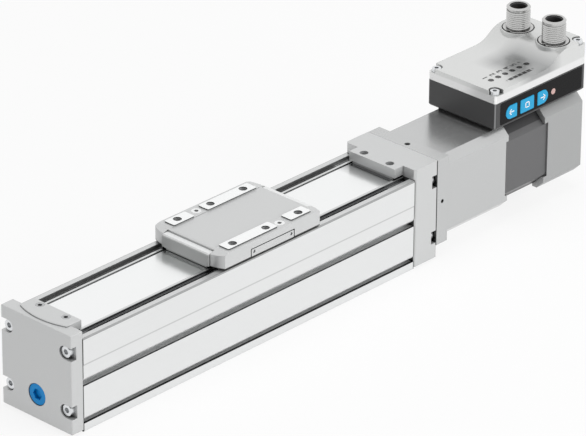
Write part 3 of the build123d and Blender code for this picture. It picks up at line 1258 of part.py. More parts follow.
def upright_ring(outer, inner, x, y, z0, z1):
    """A ring about an upright axis."""
    with BuildPart() as piece:
        post(outer, x, y, z0, z1)
        post(inner, x, y, z0, z1, mode=Mode.SUBTRACT)
    return piece.part


nut_z = (SOCKET_SEAT_Z - SHELL_NUT_L, SOCKET_SEAT_Z)
nut_bore = SHELL_NECK_R + SEAT_GAP
save_group([upright_ring(SHELL_NUT_R, nut_bore, x, y, *nut_z) for x, y in SOCKET_PLACES], "socket_nuts")
seal_z = (LID_HIGH - SHELL_RECESS, LID_HIGH - SHELL_RECESS + SEAL_H)
seal_r = (SHELL_RECESS_R - SEAT_GAP, SHELL_FLANGE_R + SEAT_GAP)
save_group([upright_ring(*seal_r, x, y, *seal_z) for x, y in SOCKET_PLACES], "socket_seals")
inserts = []
pins = []
for (x, y), count in zip(SOCKET_PLACES, PIN_COUNTS):
    turns = [2 * math.pi * index / (count - 1) for index in range(count - 1)]
    ring_places = [(x + PIN_CIRCLE_R * math.cos(t), y + PIN_CIRCLE_R * math.sin(t)) for t in turns]
    places = [(x, y)] + ring_places
    with BuildPart() as insert:
        post(THREAD_BORE_R - SEAT_GAP, x, y, SHELL_BOTTOM, THREAD_TOP - INSERT_RIM_SUNK)
        post(THREAD_BORE_R - INSERT_WALL, x, y, INSERT_TOP, THREAD_TOP, mode=Mode.SUBTRACT)
        for place in places:
            post(PIN_R + SEAT_GAP, *place, INSERT_TOP - PIN_ROOT, INSERT_TOP, mode=Mode.SUBTRACT)
    inserts.append(insert.part)
    for place in places:
        with BuildPart() as pin:
            post(PIN_R, *place, INSERT_TOP - PIN_ROOT, PIN_TOP)
        pins.append(pin.part)
save_group(inserts, "socket_inserts")
save_group(pins, "socket_pins")

# Carriage plate
FRONT_X = CARRIAGE_X - CARRIAGE_FRONT_L / 2
SIDE_X = CARRIAGE_X - CARRIAGE_SIDE_L / 2
SHOULDER_HALF = WIPER_HALF + 0.2
WEB_INNER = (STRIP_LEDGE_HALF + BAY_HALF - WEB_T) / 2
WEB_LIMITS = (WEB_INNER, WEB_INNER + WEB_T)
WEB_X = (CARRIAGE_X - WEB_L / 2, CARRIAGE_X + WEB_L / 2)
WEB_TONGUE_X = (CARRIAGE_X - WEB_TONGUE_L / 2, CARRIAGE_X + WEB_TONGUE_L / 2)
COVER_INSIDE = AXIS_HALF - SIDE_COVER_T


def mirrored(limits, side):
    """Limits along Y, on the side given as +1 or -1."""
    return tuple(sorted((side * limits[0], side * limits[1])))


def side_cover_outline(grow):
    """Draws a side cover's face, grown by a gap, in the sketch that is open."""
    height = SIDE_COVER_H + grow
    with Locations((CARRIAGE_X, CARRIAGE_BOTTOM + height / 2)):
        Rectangle(WEB_TONGUE_L + 2 * grow, height)


with BuildSketch(Plane.XY.offset(CARRIAGE_BOTTOM)) as carriage_outline:
    with BuildLine():
        corner_mid = (FRONT_X + 0.8, (SHOULDER_HALF + AXIS_HALF) / 2 + 0.4)
        Line((FRONT_X, 0), (FRONT_X, SHOULDER_HALF))
        ThreePointArc((FRONT_X, SHOULDER_HALF), corner_mid, (SIDE_X, AXIS_HALF))
        Line((SIDE_X, AXIS_HALF), (CARRIAGE_X, AXIS_HALF))
        mirror(about=Plane.XZ)
        mirror(about=Plane.YZ.offset(CARRIAGE_X))
    make_face()
with BuildPart() as carriage_plate:
    add(carriage_outline.sketch)
    extrude(amount=CARRIAGE_TOP - CARRIAGE_BOTTOM)
    with BuildSketch(Plane.XY.offset(CARRIAGE_TOP)):
        for sign in (-1, 1):
            for span in (PAD_SHORT, PAD_LONG):
                x0, x1 = sorted((sign * span[0], sign * span[1]))
                y = sign * (PAD_INNER + PAD_OUTER) / 2
                with Locations((CARRIAGE_X + (x0 + x1) / 2, y)):
                    RectangleRounded(x1 - x0, PAD_OUTER - PAD_INNER, PAD_CORNER)
    extrude(amount=PAD_H)
    dish = (-PAD_INNER, PAD_INNER)
    dish_x = (FRONT_X - 1, CARRIAGE_X + CARRIAGE_FRONT_L / 2 + 1)
    block(dish_x, dish, (CARRIAGE_TOP - CARRIAGE_DISH, CARRIAGE_TOP), mode=Mode.SUBTRACT)
    with BuildSketch(Plane.XZ.offset(AXIS_HALF + 1)):
        for sign in (-1, 1):
            edge_x = CARRIAGE_X + sign * (CARRIAGE_FRONT_L / 2)
            flat_x = edge_x - sign * CARRIAGE_SLOPE_L
            drop_z = CARRIAGE_TOP - CARRIAGE_SLOPE_H
            out_x = edge_x + sign
            corners = [(flat_x, CARRIAGE_TOP), (edge_x, drop_z), (out_x, drop_z), (out_x, CARRIAGE_TOP)]
            Polygon(*corners[::sign], align=None)
    extrude(amount=-(AXIS_W + 2), mode=Mode.SUBTRACT)
    for sign in (-1, 1):
        outer_x = CARRIAGE_X + sign * CARRIAGE_L / 2
        wiper_x = sorted((outer_x, outer_x - sign * (WIPER_L + JOINT_GAP)))
        block(wiper_x, (-SHOULDER_HALF, SHOULDER_HALF), (CARRIAGE_BOTTOM, CARRIAGE_TOP), mode=Mode.SUBTRACT)
    for side in (-1, 1):
        with BuildSketch(Plane.XZ.offset(-side * AXIS_HALF)):
            side_cover_outline(SIDE_COVER_JOINT)
        extrude(amount=side * SIDE_COVER_T, mode=Mode.SUBTRACT)
        tongue_y = mirrored((WEB_LIMITS[0] - SEAT_GAP, WEB_LIMITS[1] + SEAT_GAP), side)
        tongue_x = (WEB_TONGUE_X[0] - SEAT_GAP, WEB_TONGUE_X[1] + SEAT_GAP)
        block(tongue_x, tongue_y, (CARRIAGE_BOTTOM, WEB_TONGUE_TOP + SEAT_GAP), mode=Mode.SUBTRACT)
        for x in (CARRIAGE_X - SIDE_SCREW_PITCH / 2, CARRIAGE_X + SIDE_SCREW_PITCH / 2):
            with Locations(Location((x, side * AXIS_HALF, SIDE_SCREW_Z), (90, 0, 0))):
                Cylinder(SIDE_SCREW_R + SEAT_GAP, 2 * (AXIS_HALF - WEB_LIMITS[1]), mode=Mode.SUBTRACT)
        for x in (CARRIAGE_X - MOUNT_PITCH_X / 2, CARRIAGE_X + MOUNT_PITCH_X / 2):
            post(MOUNT_HOLE_R, x, side * MOUNT_Y, PAD_TOP - MOUNT_HOLE_DEPTH, PAD_TOP, mode=Mode.SUBTRACT)
        post(CENTRING_R, CARRIAGE_X, side * MOUNT_Y, PAD_TOP - CENTRING_DEPTH, PAD_TOP, mode=Mode.SUBTRACT)
        port_x = CARRIAGE_X + side * PORT_X
        port_z = (CARRIAGE_TOP - PORT_SCREW_L, CARRIAGE_TOP)
        post(PORT_SCREW_R + SEAT_GAP, port_x, side * PORT_Y, *port_z, mode=Mode.SUBTRACT)
        cone_h = PORT_HEAD_R - PORT_SCREW_R
        with Locations((port_x, side * PORT_Y, CARRIAGE_TOP - cone_h / 2)):
            Cone(PORT_SCREW_R + SEAT_GAP, PORT_HEAD_R + SEAT_GAP, cone_h, mode=Mode.SUBTRACT)
save(carriage_plate.part, "carriage_plate")

port_screw = countersunk_screw(PORT_HEAD_R, PORT_SCREW_R, PORT_SCREW_L, SET_SCREW_HEX)
port_places = [(CARRIAGE_X + side * PORT_X, side * PORT_Y, CARRIAGE_TOP) for side in (-1, 1)]
save_group([Pos(*place) * port_screw for place in port_places], "port_screws")

# Wipers on both ends of the carriage
wipers = []
for sign in (-1, 1):
    outer_x = CARRIAGE_X + sign * CARRIAGE_L / 2
    inner_x = outer_x - sign * WIPER_L
    with BuildPart() as wiper:
        wiper_z = (CARRIAGE_BOTTOM + JOINT_GAP, WIPER_TOP)
        block(sorted((outer_x, inner_x)), (-WIPER_HALF, WIPER_HALF), wiper_z)
        top_edges = wiper.faces().sort_by(Axis.Z)[-1].edges().filter_by(Axis.Y).sort_by(Axis.X)
        chamfer(top_edges[-(sign + 1) // 2], WIPER_BEVEL)
        lip_x = sorted((outer_x - sign * 0.8, outer_x - sign * 2.0))
        block(lip_x, (-STRIP_TAB_HALF, STRIP_TAB_HALF), (STRIP_TOP + WIPER_LIP, CARRIAGE_BOTTOM + JOINT_GAP))
    wipers.append(wiper.part)
save_group(wipers, "wipers")

# Side covers and their small screws
side_covers = []
side_screws = []
for side in (-1, 1):
    screw_x = (CARRIAGE_X - SIDE_SCREW_PITCH / 2, CARRIAGE_X + SIDE_SCREW_PITCH / 2)
    with BuildPart() as cover:
        with BuildSketch(Plane.XZ.offset(-side * AXIS_HALF)):
            side_cover_outline(0)
        extrude(amount=side * SIDE_COVER_T)
        top_corners = cover.edges().filter_by(Axis.Y).group_by(Axis.Z)[-1]
        fillet(top_corners, SIDE_COVER_CORNER)
        for x in screw_x:
            with Locations(Location((x, side * AXIS_HALF, SIDE_SCREW_Z), (90, 0, 0))):
                Cylinder(SIDE_SCREW_R + SEAT_GAP, 4 * SIDE_COVER_T, mode=Mode.SUBTRACT)
    side_covers.append(cover.part)
    for x in screw_x:
        with BuildPart() as screw:
            tip_y = WEB_LIMITS[1]
            head_y = AXIS_HALF - SIDE_SCREW_SUNK
            with Locations(Location((x, side * (head_y + tip_y) / 2, SIDE_SCREW_Z), (90, 0, 0))):
                Cylinder(SIDE_SCREW_R, head_y - tip_y)
        side_screws.append(screw.part)
save_group(side_covers, "side_covers")
save_group(side_screws, "side_cover_screws")

# Slide block under the strip, its webs passing up through the two slots
with BuildPart() as slide_block:
    slide_x = (CARRIAGE_X - SLIDE_L / 2, CARRIAGE_X + SLIDE_L / 2)
    block(slide_x, (-SLIDE_HALF, SLIDE_HALF), (RUNNER_TOP, SLIDE_TOP))
    block(WEB_X, (-WEB_LIMITS[1], WEB_LIMITS[1]), SLIDE_BAR_Z)
    for side in (-1, 1):
        block(WEB_X, mirrored(WEB_LIMITS, side), (SLIDE_BAR_Z[0], CARRIAGE_BOTTOM))
        block(WEB_TONGUE_X, mirrored(WEB_LIMITS, side), (CARRIAGE_BOTTOM, WEB_TONGUE_TOP))
    rod(NUT_R + SEAT_GAP, *slide_x, mode=Mode.SUBTRACT)
save(slide_block.part, "slide_block")

# Ball nut with its flange on the slide block's rear face
NUT_END = CARRIAGE_X + SLIDE_L / 2
NUT_FLANGE_R = RUNNER_HALF
NUT_BOLT_R_PLACE = (NUT_R + NUT_FLANGE_R) / 2 - 1.5 * JOINT_GAP
with BuildPart() as ball_nut:
    rod(NUT_R, NUT_END - NUT_L, NUT_END)
    rod(NUT_FLANGE_R, NUT_END, NUT_END + NUT_FLANGE_L)
    rod(SPINDLE_R + RUN_GAP, NUT_END - NUT_L, NUT_END + NUT_FLANGE_L, mode=Mode.SUBTRACT)
    with BuildSketch(Plane.YZ.offset(NUT_END)):
        with Locations((0, SPINDLE_Z)):
            with PolarLocations(NUT_BOLT_R_PLACE, 4, 45):
                Circle(NUT_BOLT_R + SEAT_GAP)
    extrude(amount=NUT_FLANGE_L, mode=Mode.SUBTRACT)
save(ball_nut.part, "ball_nut")

# Guide runner that rides on the rail
with BuildPart() as guide_runner:
    with BuildSketch(Plane.YZ.offset(CARRIAGE_X - RUNNER_L / 2)):
        with Locations((0, (RUNNER_BOTTOM + RUNNER_TOP) / 2)):
            Rectangle(2 * RUNNER_HALF, RUNNER_TOP - RUNNER_BOTTOM)
        with Locations((0, (RUNNER_BOTTOM + RAIL_TOP + RUNNER_GAP) / 2)):
            Rectangle(RAIL_W + 2 * RUNNER_GAP, RAIL_TOP + RUNNER_GAP - RUNNER_BOTTOM, mode=Mode.SUBTRACT)
        for side in (-1, 1):
            with Locations((side * (RAIL_W / 2 + RUNNER_GAP / 2), RAIL_TOP - RAIL_H / 3)):
                Circle(RAIL_GROOVE - RUN_GAP - RUNNER_GAP / 4)
    extrude(amount=RUNNER_L)
save(guide_runner.part, "guide_runner")
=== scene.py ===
"""Looks for the spindle axis unit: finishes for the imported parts, threads, signs, marks and the studio."""

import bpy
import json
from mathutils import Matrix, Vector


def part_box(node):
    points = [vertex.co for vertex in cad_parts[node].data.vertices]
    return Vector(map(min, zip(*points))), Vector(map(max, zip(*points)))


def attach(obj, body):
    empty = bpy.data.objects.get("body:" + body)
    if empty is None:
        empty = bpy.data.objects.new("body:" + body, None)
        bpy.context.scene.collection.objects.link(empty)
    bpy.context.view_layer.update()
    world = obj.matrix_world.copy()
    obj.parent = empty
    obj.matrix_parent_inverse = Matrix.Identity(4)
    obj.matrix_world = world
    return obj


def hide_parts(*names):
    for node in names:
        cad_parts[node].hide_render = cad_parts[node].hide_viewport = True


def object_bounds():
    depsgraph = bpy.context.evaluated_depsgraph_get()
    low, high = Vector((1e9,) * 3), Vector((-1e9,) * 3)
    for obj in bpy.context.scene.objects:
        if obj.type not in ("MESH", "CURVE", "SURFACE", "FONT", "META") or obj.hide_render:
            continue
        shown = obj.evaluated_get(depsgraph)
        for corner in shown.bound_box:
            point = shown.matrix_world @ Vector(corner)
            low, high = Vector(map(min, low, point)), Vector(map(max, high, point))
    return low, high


bl_info = {
    "name": "Spindle Axis Unit Looks",
    "version": (1, 0, 0),
    "blender": (4, 5, 0),
    "location": "3D View > Sidebar > Axis Unit",
    "description": "Finishes, threads and printed marks for a spindle axis unit with its motor and drive",
    "category": "Object",
}

import json
import math

import bpy
import numpy as np
from bpy.props import FloatProperty, FloatVectorProperty, PointerProperty
from mathutils import Matrix, Vector

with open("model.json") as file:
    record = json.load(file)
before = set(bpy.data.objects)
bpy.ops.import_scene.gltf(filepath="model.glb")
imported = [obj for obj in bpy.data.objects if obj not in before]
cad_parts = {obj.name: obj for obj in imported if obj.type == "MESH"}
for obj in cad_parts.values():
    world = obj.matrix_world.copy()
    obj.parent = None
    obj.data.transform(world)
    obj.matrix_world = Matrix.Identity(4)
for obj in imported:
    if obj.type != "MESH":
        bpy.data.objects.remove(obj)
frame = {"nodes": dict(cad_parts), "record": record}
CAD_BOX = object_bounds()

MM = 0.001
TURN = 2 * math.pi

# The photograph's frame and the camera worked out from its straight edges
PHOTO_WIDTH_PX = 586
FOCAL_PX = 4729.1
SENSOR_MM = 36.0
CAMERA_PLACE_MM = (-1395.22, -1360.33, 1042.87)
CAMERA_AZIMUTH = -46.726
CAMERA_ELEVATION = 26.77
CAMERA_ROLL = 0.306

# Small forms that are drawn here and not in the solids
PRINT_T = 0.03 * MM
THREAD_DEPTH = 0.42 * MM
THREAD_R = 6.0 * MM
SHELL_NECK_R = 5.9 * MM
SHELL_COLUMNS = 72
BALL_TRACK_PITCH = 10.0 * MM
BALL_TRACK_DEPTH = 0.9 * MM
BALL_TRACK_SHARE = 0.18  # half of the track's width, as a share of its pitch
SPINDLE_COLUMNS = 64
SHARP_ANGLE = 35  # degrees, past which shading breaks at an edge

# Printed signs: stroke widths and how far their lines reach
SIGN_W = 0.55 * MM
ARROW_REACH = 1.7 * MM
ARROW_BARB = 1.5 * MM
SQUARE_HALF = 1.25 * MM
WINDOW_COUNT = 6
DIGIT_SIZE = 4.6 * MM
DIGIT_WEIGHT = 0.06 * MM
BAR_SIGN_W = 0.3 * MM
BAR_SIGN_REACH = 0.6 * MM
BAR_SIGN_GAP = 1.5 * MM

# The Mix node's sockets for colours, by number because their names stand on it more than once
MIX_SHARE, MIX_LOW, MIX_HIGH, MIX_RESULT = 0, 6, 7, 2

# Blender's wave pattern repeats this often in one turn's length at a scale of one
WAVE_RATE = 20

# The studio: where the lamps aim, in metres, the room's light on the unit, and the share of plain white in
# the floor as it is seen, which leaves the rest to its shadow
LAMP_TARGET = (0, 0, 0.03)
ROOM_LIGHT = 0.32
FLOOR_GLOW = 0.85

# How far a joint's shade reaches, and what is left of the colour in its depth
JOINT_REACH = 2.5 * MM
JOINT_SHADE = 0.16
OPEN_GROOVE_SHADE = 0.8

# Painted shade line where two parts meet, drawn wide enough to show
SEAM_W = 0.6 * MM


def linear(hex_colour):
    """An sRGB hex colour as linear red, green, blue, by the sRGB transfer curve."""
    channels = np.array([int(hex_colour[i : i + 2], 16) for i in (1, 3, 5)]) / 255
    curve = np.where(channels <= 0.04045, channels / 12.92, ((channels + 0.055) / 1.055) ** 2.4)
    return tuple(float(c) for c in curve)


class AxisLooks(bpy.types.PropertyGroup):
    """Colours and sizes that a user would change."""

    profile: FloatVectorProperty(
        name="Profile", description="Anodised extruded aluminium", subtype="COLOR", min=0, max=1,
        default=linear("#e9eaea"),
    )
    aluminium: FloatVectorProperty(
        name="Milled parts", description="Blasted and anodised aluminium", subtype="COLOR", min=0, max=1,
        default=linear("#d2d3d3"),
    )
    strip: FloatVectorProperty(
        name="Cover strip", description="Brushed stainless strip", subtype="COLOR", min=0, max=1,
        default=linear("#f4f5f5"),
    )
    lid: FloatVectorProperty(
        name="Lid", description="Silver-grey drive lid", subtype="COLOR", min=0, max=1,
        default=linear("#dcdddc"),
    )
    housing: FloatVectorProperty(
        name="Drive base", description="Black moulded drive base", subtype="COLOR", min=0, max=1,
        default=linear("#39393a"),
    )
    button: FloatVectorProperty(
        name="Push buttons", description="Blue push buttons", subtype="COLOR", min=0, max=1,
        default=linear("#0aa0d2"),
    )
    floor: FloatVectorProperty(
        name="Floor", description="Pale studio floor", subtype="COLOR", min=0, max=1,
        default=linear("#f4f4f4"),
    )
    thread_pitch: FloatProperty(
        name="Connector thread", description="Pitch of the connectors' thread", default=1.0 * MM,
        min=0.5 * MM, max=2.0 * MM, subtype="DISTANCE", unit="LENGTH",
    )


def add_node(tree, kind, settings=None, inputs=None):
    """Adds a node, sets its properties and gives each named input a value or a link."""
    node = tree.nodes.new(kind)
    for name, value in (settings or {}).items():
        setattr(node, name, value)
    for name, value in (inputs or {}).items():
        if isinstance(value, bpy.types.NodeSocket):
            tree.links.new(value, node.inputs[name])
        else:
            node.inputs[name].default_value = value
    return node


def grain(size_mm, stretch=(1, 1, 1)):
    """A noise pattern with grains of that size, drawn out along the axes by the stretch."""

    def pattern(tree):
        place = add_node(tree, "ShaderNodeTexCoord")
        scale = [1 / (size_mm * MM * s) for s in stretch]
        turned = add_node(
            tree, "ShaderNodeMapping", inputs={"Vector": place.outputs["Object"], "Scale": scale}
        )
        noise = add_node(
            tree, "ShaderNodeTexNoise",
            inputs={"Vector": turned.outputs[0], "Scale": 1.0, "Detail": 3.0, "Roughness": 0.6},
        )
        return noise.outputs["Fac"]

    return pattern


def layers(pitch_mm):
    """Sheets stacked along X: a wave whose period is the sheet pitch."""

    def pattern(tree):
        place = add_node(tree, "ShaderNodeTexCoord")
        wave = add_node(
            tree, "ShaderNodeTexWave", {"bands_direction": "X"},
            {
                "Vector": place.outputs["Object"],
                "Scale": TURN / (WAVE_RATE * pitch_mm * MM),
                "Distortion": 0.0,
            },
        )
        return wave.outputs["Fac"]

    return pattern


def joint_shade(tree, colour, left):
    """The colour darkened where surfaces stand close together, down to a share that is left of it."""
    near = add_node(tree, "ShaderNodeAmbientOcclusion", {"samples": 8}, {"Distance": JOINT_REACH})
    open_share = add_node(
        tree, "ShaderNodeMapRange",
        inputs={
            "Value": near.outputs["AO"], "From Min": 0.05, "From Max": 0.8, "To Min": 0.0, "To Max": 1.0,
        },
    )
    shaded = add_node(
        tree, "ShaderNodeMix", {"data_type": "RGBA", "blend_type": "MULTIPLY"},
        {MIX_SHARE: 1.0, MIX_LOW: colour, MIX_HIGH: (left, left, left, 1)},
    )
    both = add_node(
        tree, "ShaderNodeMix", {"data_type": "RGBA"},
        {MIX_SHARE: open_share.outputs[0], MIX_LOW: shaded.outputs[MIX_RESULT], MIX_HIGH: colour},
    )
    return both.outputs[MIX_RESULT]


def inside(tree, spot, limits, soft):
    """One between an axis's two limits, falling to nought over a soft distance beyond them."""
    low, high = limits
    half = (high - low) / 2
    offset = add_node(tree, "ShaderNodeMath", {"operation": "SUBTRACT"}, {0: spot, 1: (low + high) / 2})
    away = add_node(tree, "ShaderNodeMath", {"operation": "ABSOLUTE"}, {0: offset.outputs[0]})
    share = add_node(
        tree, "ShaderNodeMapRange",
        inputs={
            "Value": away.outputs[0], "From Min": half, "From Max": half + soft, "To Min": 1.0, "To Max": 0.0,
        },
    )
    return share.outputs[0]


def toned(places):
    """Changes the colour inside boxes, each given as axis limits in metres, a soft edge and a hex
    colour. The limits called side are of the distance from the middle plane, for both sides alike."""

    def change(tree, colour):
        object_place = add_node(tree, "ShaderNodeTexCoord")
        spot = add_node(tree, "ShaderNodeSeparateXYZ", inputs={0: object_place.outputs["Object"]}).outputs
        across = add_node(tree, "ShaderNodeMath", {"operation": "ABSOLUTE"}, {0: spot["Y"]})
        values = {"X": spot["X"], "Y": spot["Y"], "Z": spot["Z"], "side": across.outputs[0]}
        for box, soft, hex_colour in places:
            share = 1.0
            for axis, limits in box.items():
                part = inside(tree, values[axis], limits, soft)
                product = add_node(tree, "ShaderNodeMath", {"operation": "MULTIPLY"}, {0: part, 1: share})
                share = product.outputs[0]
            tint = add_node(
                tree, "ShaderNodeMix", {"data_type": "RGBA"},
                {MIX_SHARE: share, MIX_LOW: colour, MIX_HIGH: (*linear(hex_colour), 1)},
            )
            colour = tint.outputs[MIX_RESULT]
        return colour

    return change


def seam(x, top):
    """A painted shade line in the gap round the parts that meet in the plane at x, from below them up to a
    height.
    """
    return {"X": (x - SEAM_W / 2, x + SEAM_W / 2), "Z": (-1.0, top)}, 0.1 * MM, "#4b4c4c"


def finish(
    name, colour, pattern, spread, roughness, bump_mm, edge_mm, change=None, left=JOINT_SHADE, **shader
):
    """A surface whose colour and roughness vary with a pattern, with a slight bump and softened edges.
    The change, such as toned places, comes on top, and left is what the joints' shade leaves of it."""
    material = bpy.data.materials.new(name)
    material.use_nodes = True
    tree = material.node_tree
    tree.nodes.clear()
    amount = pattern(tree)
    dark = (*[c * (1 - spread) for c in colour], 1)
    base = add_node(
        tree, "ShaderNodeMix", {"data_type": "RGBA"},
        {MIX_SHARE: amount, MIX_LOW: dark, MIX_HIGH: (*colour, 1)},
    )
    tint = base.outputs[MIX_RESULT]
    if change:
        tint = change(tree, tint)
    tint = joint_shade(tree, tint, left)
    smooth, dull = roughness
    rough = add_node(
        tree, "ShaderNodeMapRange",
        inputs={"Value": amount, "From Min": 0.3, "From Max": 0.7, "To Min": smooth, "To Max": dull},
    )
    edge = add_node(tree, "ShaderNodeBevel", {"samples": 6}, {"Radius": edge_mm * MM})
    bump = add_node(
        tree, "ShaderNodeBump",
        inputs={"Strength": 0.5, "Distance": bump_mm * MM, "Height": amount, "Normal": edge.outputs[0]},
    )
    surface = add_node(
        tree, "ShaderNodeBsdfPrincipled",
        inputs={"Base Color": tint, "Roughness": rough.outputs[0], "Normal": bump.outputs[0], **shader},
    )
    add_node(tree, "ShaderNodeOutputMaterial", inputs={"Surface": surface.outputs[0]})
    return material


def extruded_aluminium(looks):
    # Pressed through a die and anodised: satin, with draw lines along the length that are too fine to show
    # and are drawn 0.4 mm wide, one thin painted shade line on each side, painted shade on the lips' top and
    # outer edges, on the walls of the strip's slots and along the lower edge of each groove's round
    low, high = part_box("profile")
    half, top = high.y, high.z
    strip_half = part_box("cover_strip")[1].y
    slot = (strip_half + 2.5 * MM, half - 3.3 * MM)
    upper_groove = (half - 1.1 * MM, half - 0.3 * MM)
    lower_groove = (half - 1.5 * MM, half - 0.4 * MM)
    places = (
        # Painted shade on the lips' flat top, then on their outer edge
        ({"Z": (top - 0.05 * MM, top + MM)}, 0.03 * MM, "#d4d5d5"),
        ({"side": (half - 0.75 * MM, half + MM), "Z": (top - 0.7 * MM, top + MM)}, 0.1 * MM, "#a8a9a9"),
        # Painted shade on the walls of the strip's slots
        ({"side": slot, "Z": (top - 1.9 * MM, top - 0.45 * MM)}, 0.3 * MM, "#a2a3a3"),
        # A thin painted shade line on each side, where it steps back a little
        ({"side": (half - 0.3 * MM, half + MM), "Z": (33.6 * MM, 34.2 * MM)}, 0.2 * MM, "#cbcccc"),
        # A painted shade line along the lower edge of each groove's round
        ({"side": upper_groove, "Z": (22.9 * MM, 23.3 * MM)}, 0.15 * MM, "#454646"),
        ({"side": lower_groove, "Z": (3.9 * MM, 4.3 * MM)}, 0.15 * MM, "#2f3030"),
        # Painted shade lines in the joints at the profile's two ends
        seam(low.x, top), seam(high.x, top),
    )
    return finish(
        "anodised_extruded_aluminium", looks.profile, grain(0.4, (150, 1, 1)),
        spread=0.04, roughness=(0.3, 0.4), bump_mm=0.006, edge_mm=0.15, change=toned(places),
        left=OPEN_GROOVE_SHADE, Metallic=0.75,
    )


def milled_aluminium(looks):
    # Milled, glass-bead blasted and anodised: an even matt sheen whose grain is too fine to show and is drawn
    # at 0.3 mm, and a painted shade line where it meets its neighbours
    low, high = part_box("profile")
    head_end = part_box("head_block")[1]
    places = (seam(low.x, high.z), seam(high.x, high.z), seam(head_end.x, head_end.z - 0.3 * MM))
    return finish(
        "blasted_anodised_aluminium", looks.aluminium, grain(0.3),
        spread=0.04, roughness=(0.36, 0.44), bump_mm=0.008, edge_mm=0.14, change=toned(places),
        Metallic=0.55,
    )


def housing_aluminium(looks):
    # The coupling housing: the same blasted aluminium, ground a little finer, so that the black box mirrors
    # in it, and a painted shade line in its joint with the part before it
    low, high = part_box("coupling_housing")
    return finish(
        "fine_blasted_aluminium", linear("#c6c7c7"), grain(0.3),
        spread=0.04, roughness=(0.2, 0.28), bump_mm=0.004, edge_mm=0.14,
        change=toned((seam(low.x, high.z - 0.3 * MM),)), Metallic=0.75,
    )


def ground_pads(looks):
    # The carriage: blasted as the other milled parts, its raised mounting pads ground bright, painted shade on
    # their low walls, and painted shade on its lower edge over the profile
    bottom, top = (corner.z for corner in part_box("carriage_plate"))
    places = (
        ({"Z": (bottom - MM, bottom + 0.4 * MM)}, 0.15 * MM, "#2c2d2d"),
        ({"Z": (top - 0.57 * MM, top - 0.08 * MM)}, 0.01 * MM, "#505252"),
        ({"Z": (top - 0.07 * MM, top + MM)}, 0.01 * MM, "#fafbfb"),
    )
    return finish(
        "blasted_aluminium_with_ground_pads", looks.aluminium, grain(0.3),
        spread=0.03, roughness=(0.36, 0.44), bump_mm=0.006, edge_mm=0.12, change=toned(places), left=0.35,
        Metallic=0.45,
    )


def edged_covers(looks):
    # The carriage's side covers: blasted plates with a painted shade line in the joint round them
    low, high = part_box("side_covers")
    rim = 0.3 * MM
    places = tuple(
        (band, 0.05 * MM, "#2c2d2d")
        for band in (
            {"X": (low.x, low.x + rim)}, {"X": (high.x - rim, high.x)},
            {"Z": (low.z, low.z + rim)}, {"Z": (high.z - 0.2 * MM, high.z)},
        )
    )
    return finish(
        "blasted_cover_plates", looks.aluminium, grain(0.3),
        spread=0.03, roughness=(0.36, 0.44), bump_mm=0.006, edge_mm=0.08, change=toned(places),
        Metallic=0.45,
    )


def ground_heads(looks):
    # The port screws: heads ground with the pads, brighter than the blasted plate round them
    return finish(
        "ground_screw_heads", linear("#f6f7f7"), grain(0.4),
        spread=0.04, roughness=(0.3, 0.38), bump_mm=0.003, edge_mm=0.1, Metallic=0.45,
    )


def brushed_stainless(looks):
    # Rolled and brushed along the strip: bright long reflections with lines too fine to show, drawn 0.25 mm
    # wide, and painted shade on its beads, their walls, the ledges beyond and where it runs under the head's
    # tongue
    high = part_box("cover_strip")[1]
    half, top = high.y, high.z
    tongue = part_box("head_block")[0].x
    places = (
        # Painted shade under the tongue, on the beads, on their walls, then on the ledges beyond them
        ({"X": (tongue - 0.5 * MM, high.x)}, 10 * MM, "#8b8c8d"),
        ({"side": (half - 2.0 * MM, half)}, 0.2 * MM, "#d3d4d4"),
        ({"side": (half - 0.75 * MM, half + MM)}, 0.05 * MM, "#7b7c7d"),
        ({"side": (half - 0.5 * MM, half + MM), "Z": (0, top - 1.4 * MM)}, 0.05 * MM, "#c4c5c6"),
    )
    return finish(
        "brushed_stainless_steel", looks.strip, grain(0.25, (250, 1, 1)),
        spread=0.025, roughness=(0.18, 0.24), bump_mm=0.0015, edge_mm=0.06, change=toned(places), left=0.5,
        Metallic=1.0,
    )


def ground_steel(looks):
    # Hardened bearing steel, ground: smooth, bright and neutral grey, with grinding lines drawn 0.6 mm wide
    return finish(
        "ground_bearing_steel", linear("#b9babb"), grain(0.6, (1, 20, 20)),
        spread=0.08, roughness=(0.16, 0.26), bump_mm=0.004, edge_mm=0.1, Metallic=1.0,
    )


def zinc_steel(looks):
    # Zinc plated screws: bright silver, slightly cloudy
    return finish(
        "zinc_plated_steel", linear("#e6e8ea"), grain(0.5),
        spread=0.1, roughness=(0.2, 0.32), bump_mm=0.003, edge_mm=0.1, left=0.45, Metallic=0.9,
    )


def wiper_polyurethane(looks):
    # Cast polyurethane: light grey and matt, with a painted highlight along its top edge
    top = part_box("wipers")[1].z
    places = (({"Z": (top - 0.45 * MM, top + MM)}, 0.1 * MM, "#eeefef"),)
    return finish(
        "grey_polyurethane", linear("#c3c5c4"), grain(0.5),
        spread=0.05, roughness=(0.45, 0.55), bump_mm=0.006, edge_mm=0.2, change=toned(places), left=0.5,
    )


def nitrile_rubber(looks):
    # Moulded nitrile rubber: nearly black with a dusty sheen
    return finish(
        "nitrile_rubber", linear("#242424"), grain(0.4),
        spread=0.2, roughness=(0.6, 0.75), bump_mm=0.02, edge_mm=0.2,
    )


def blue_polycarbonate(looks):
    # Injection moulded polycarbonate: saturated and glossy, with a highlight along each edge
    return finish(
        "blue_polycarbonate", looks.button, grain(1.5),
        spread=0.04, roughness=(0.2, 0.26), bump_mm=0.002, edge_mm=0.2, IOR=1.58,
        **{"Specular IOR Level": 0.3},
    )


def deep_blue_polyamide(looks):
    # The blanking plug: a deeper blue with a plain moulded sheen
    return finish(
        "deep_blue_polyamide", linear("#069ff0"), grain(1.0),
        spread=0.06, roughness=(0.3, 0.38), bump_mm=0.004, edge_mm=0.15, IOR=1.53,
        **{"Specular IOR Level": 0.2},
    )


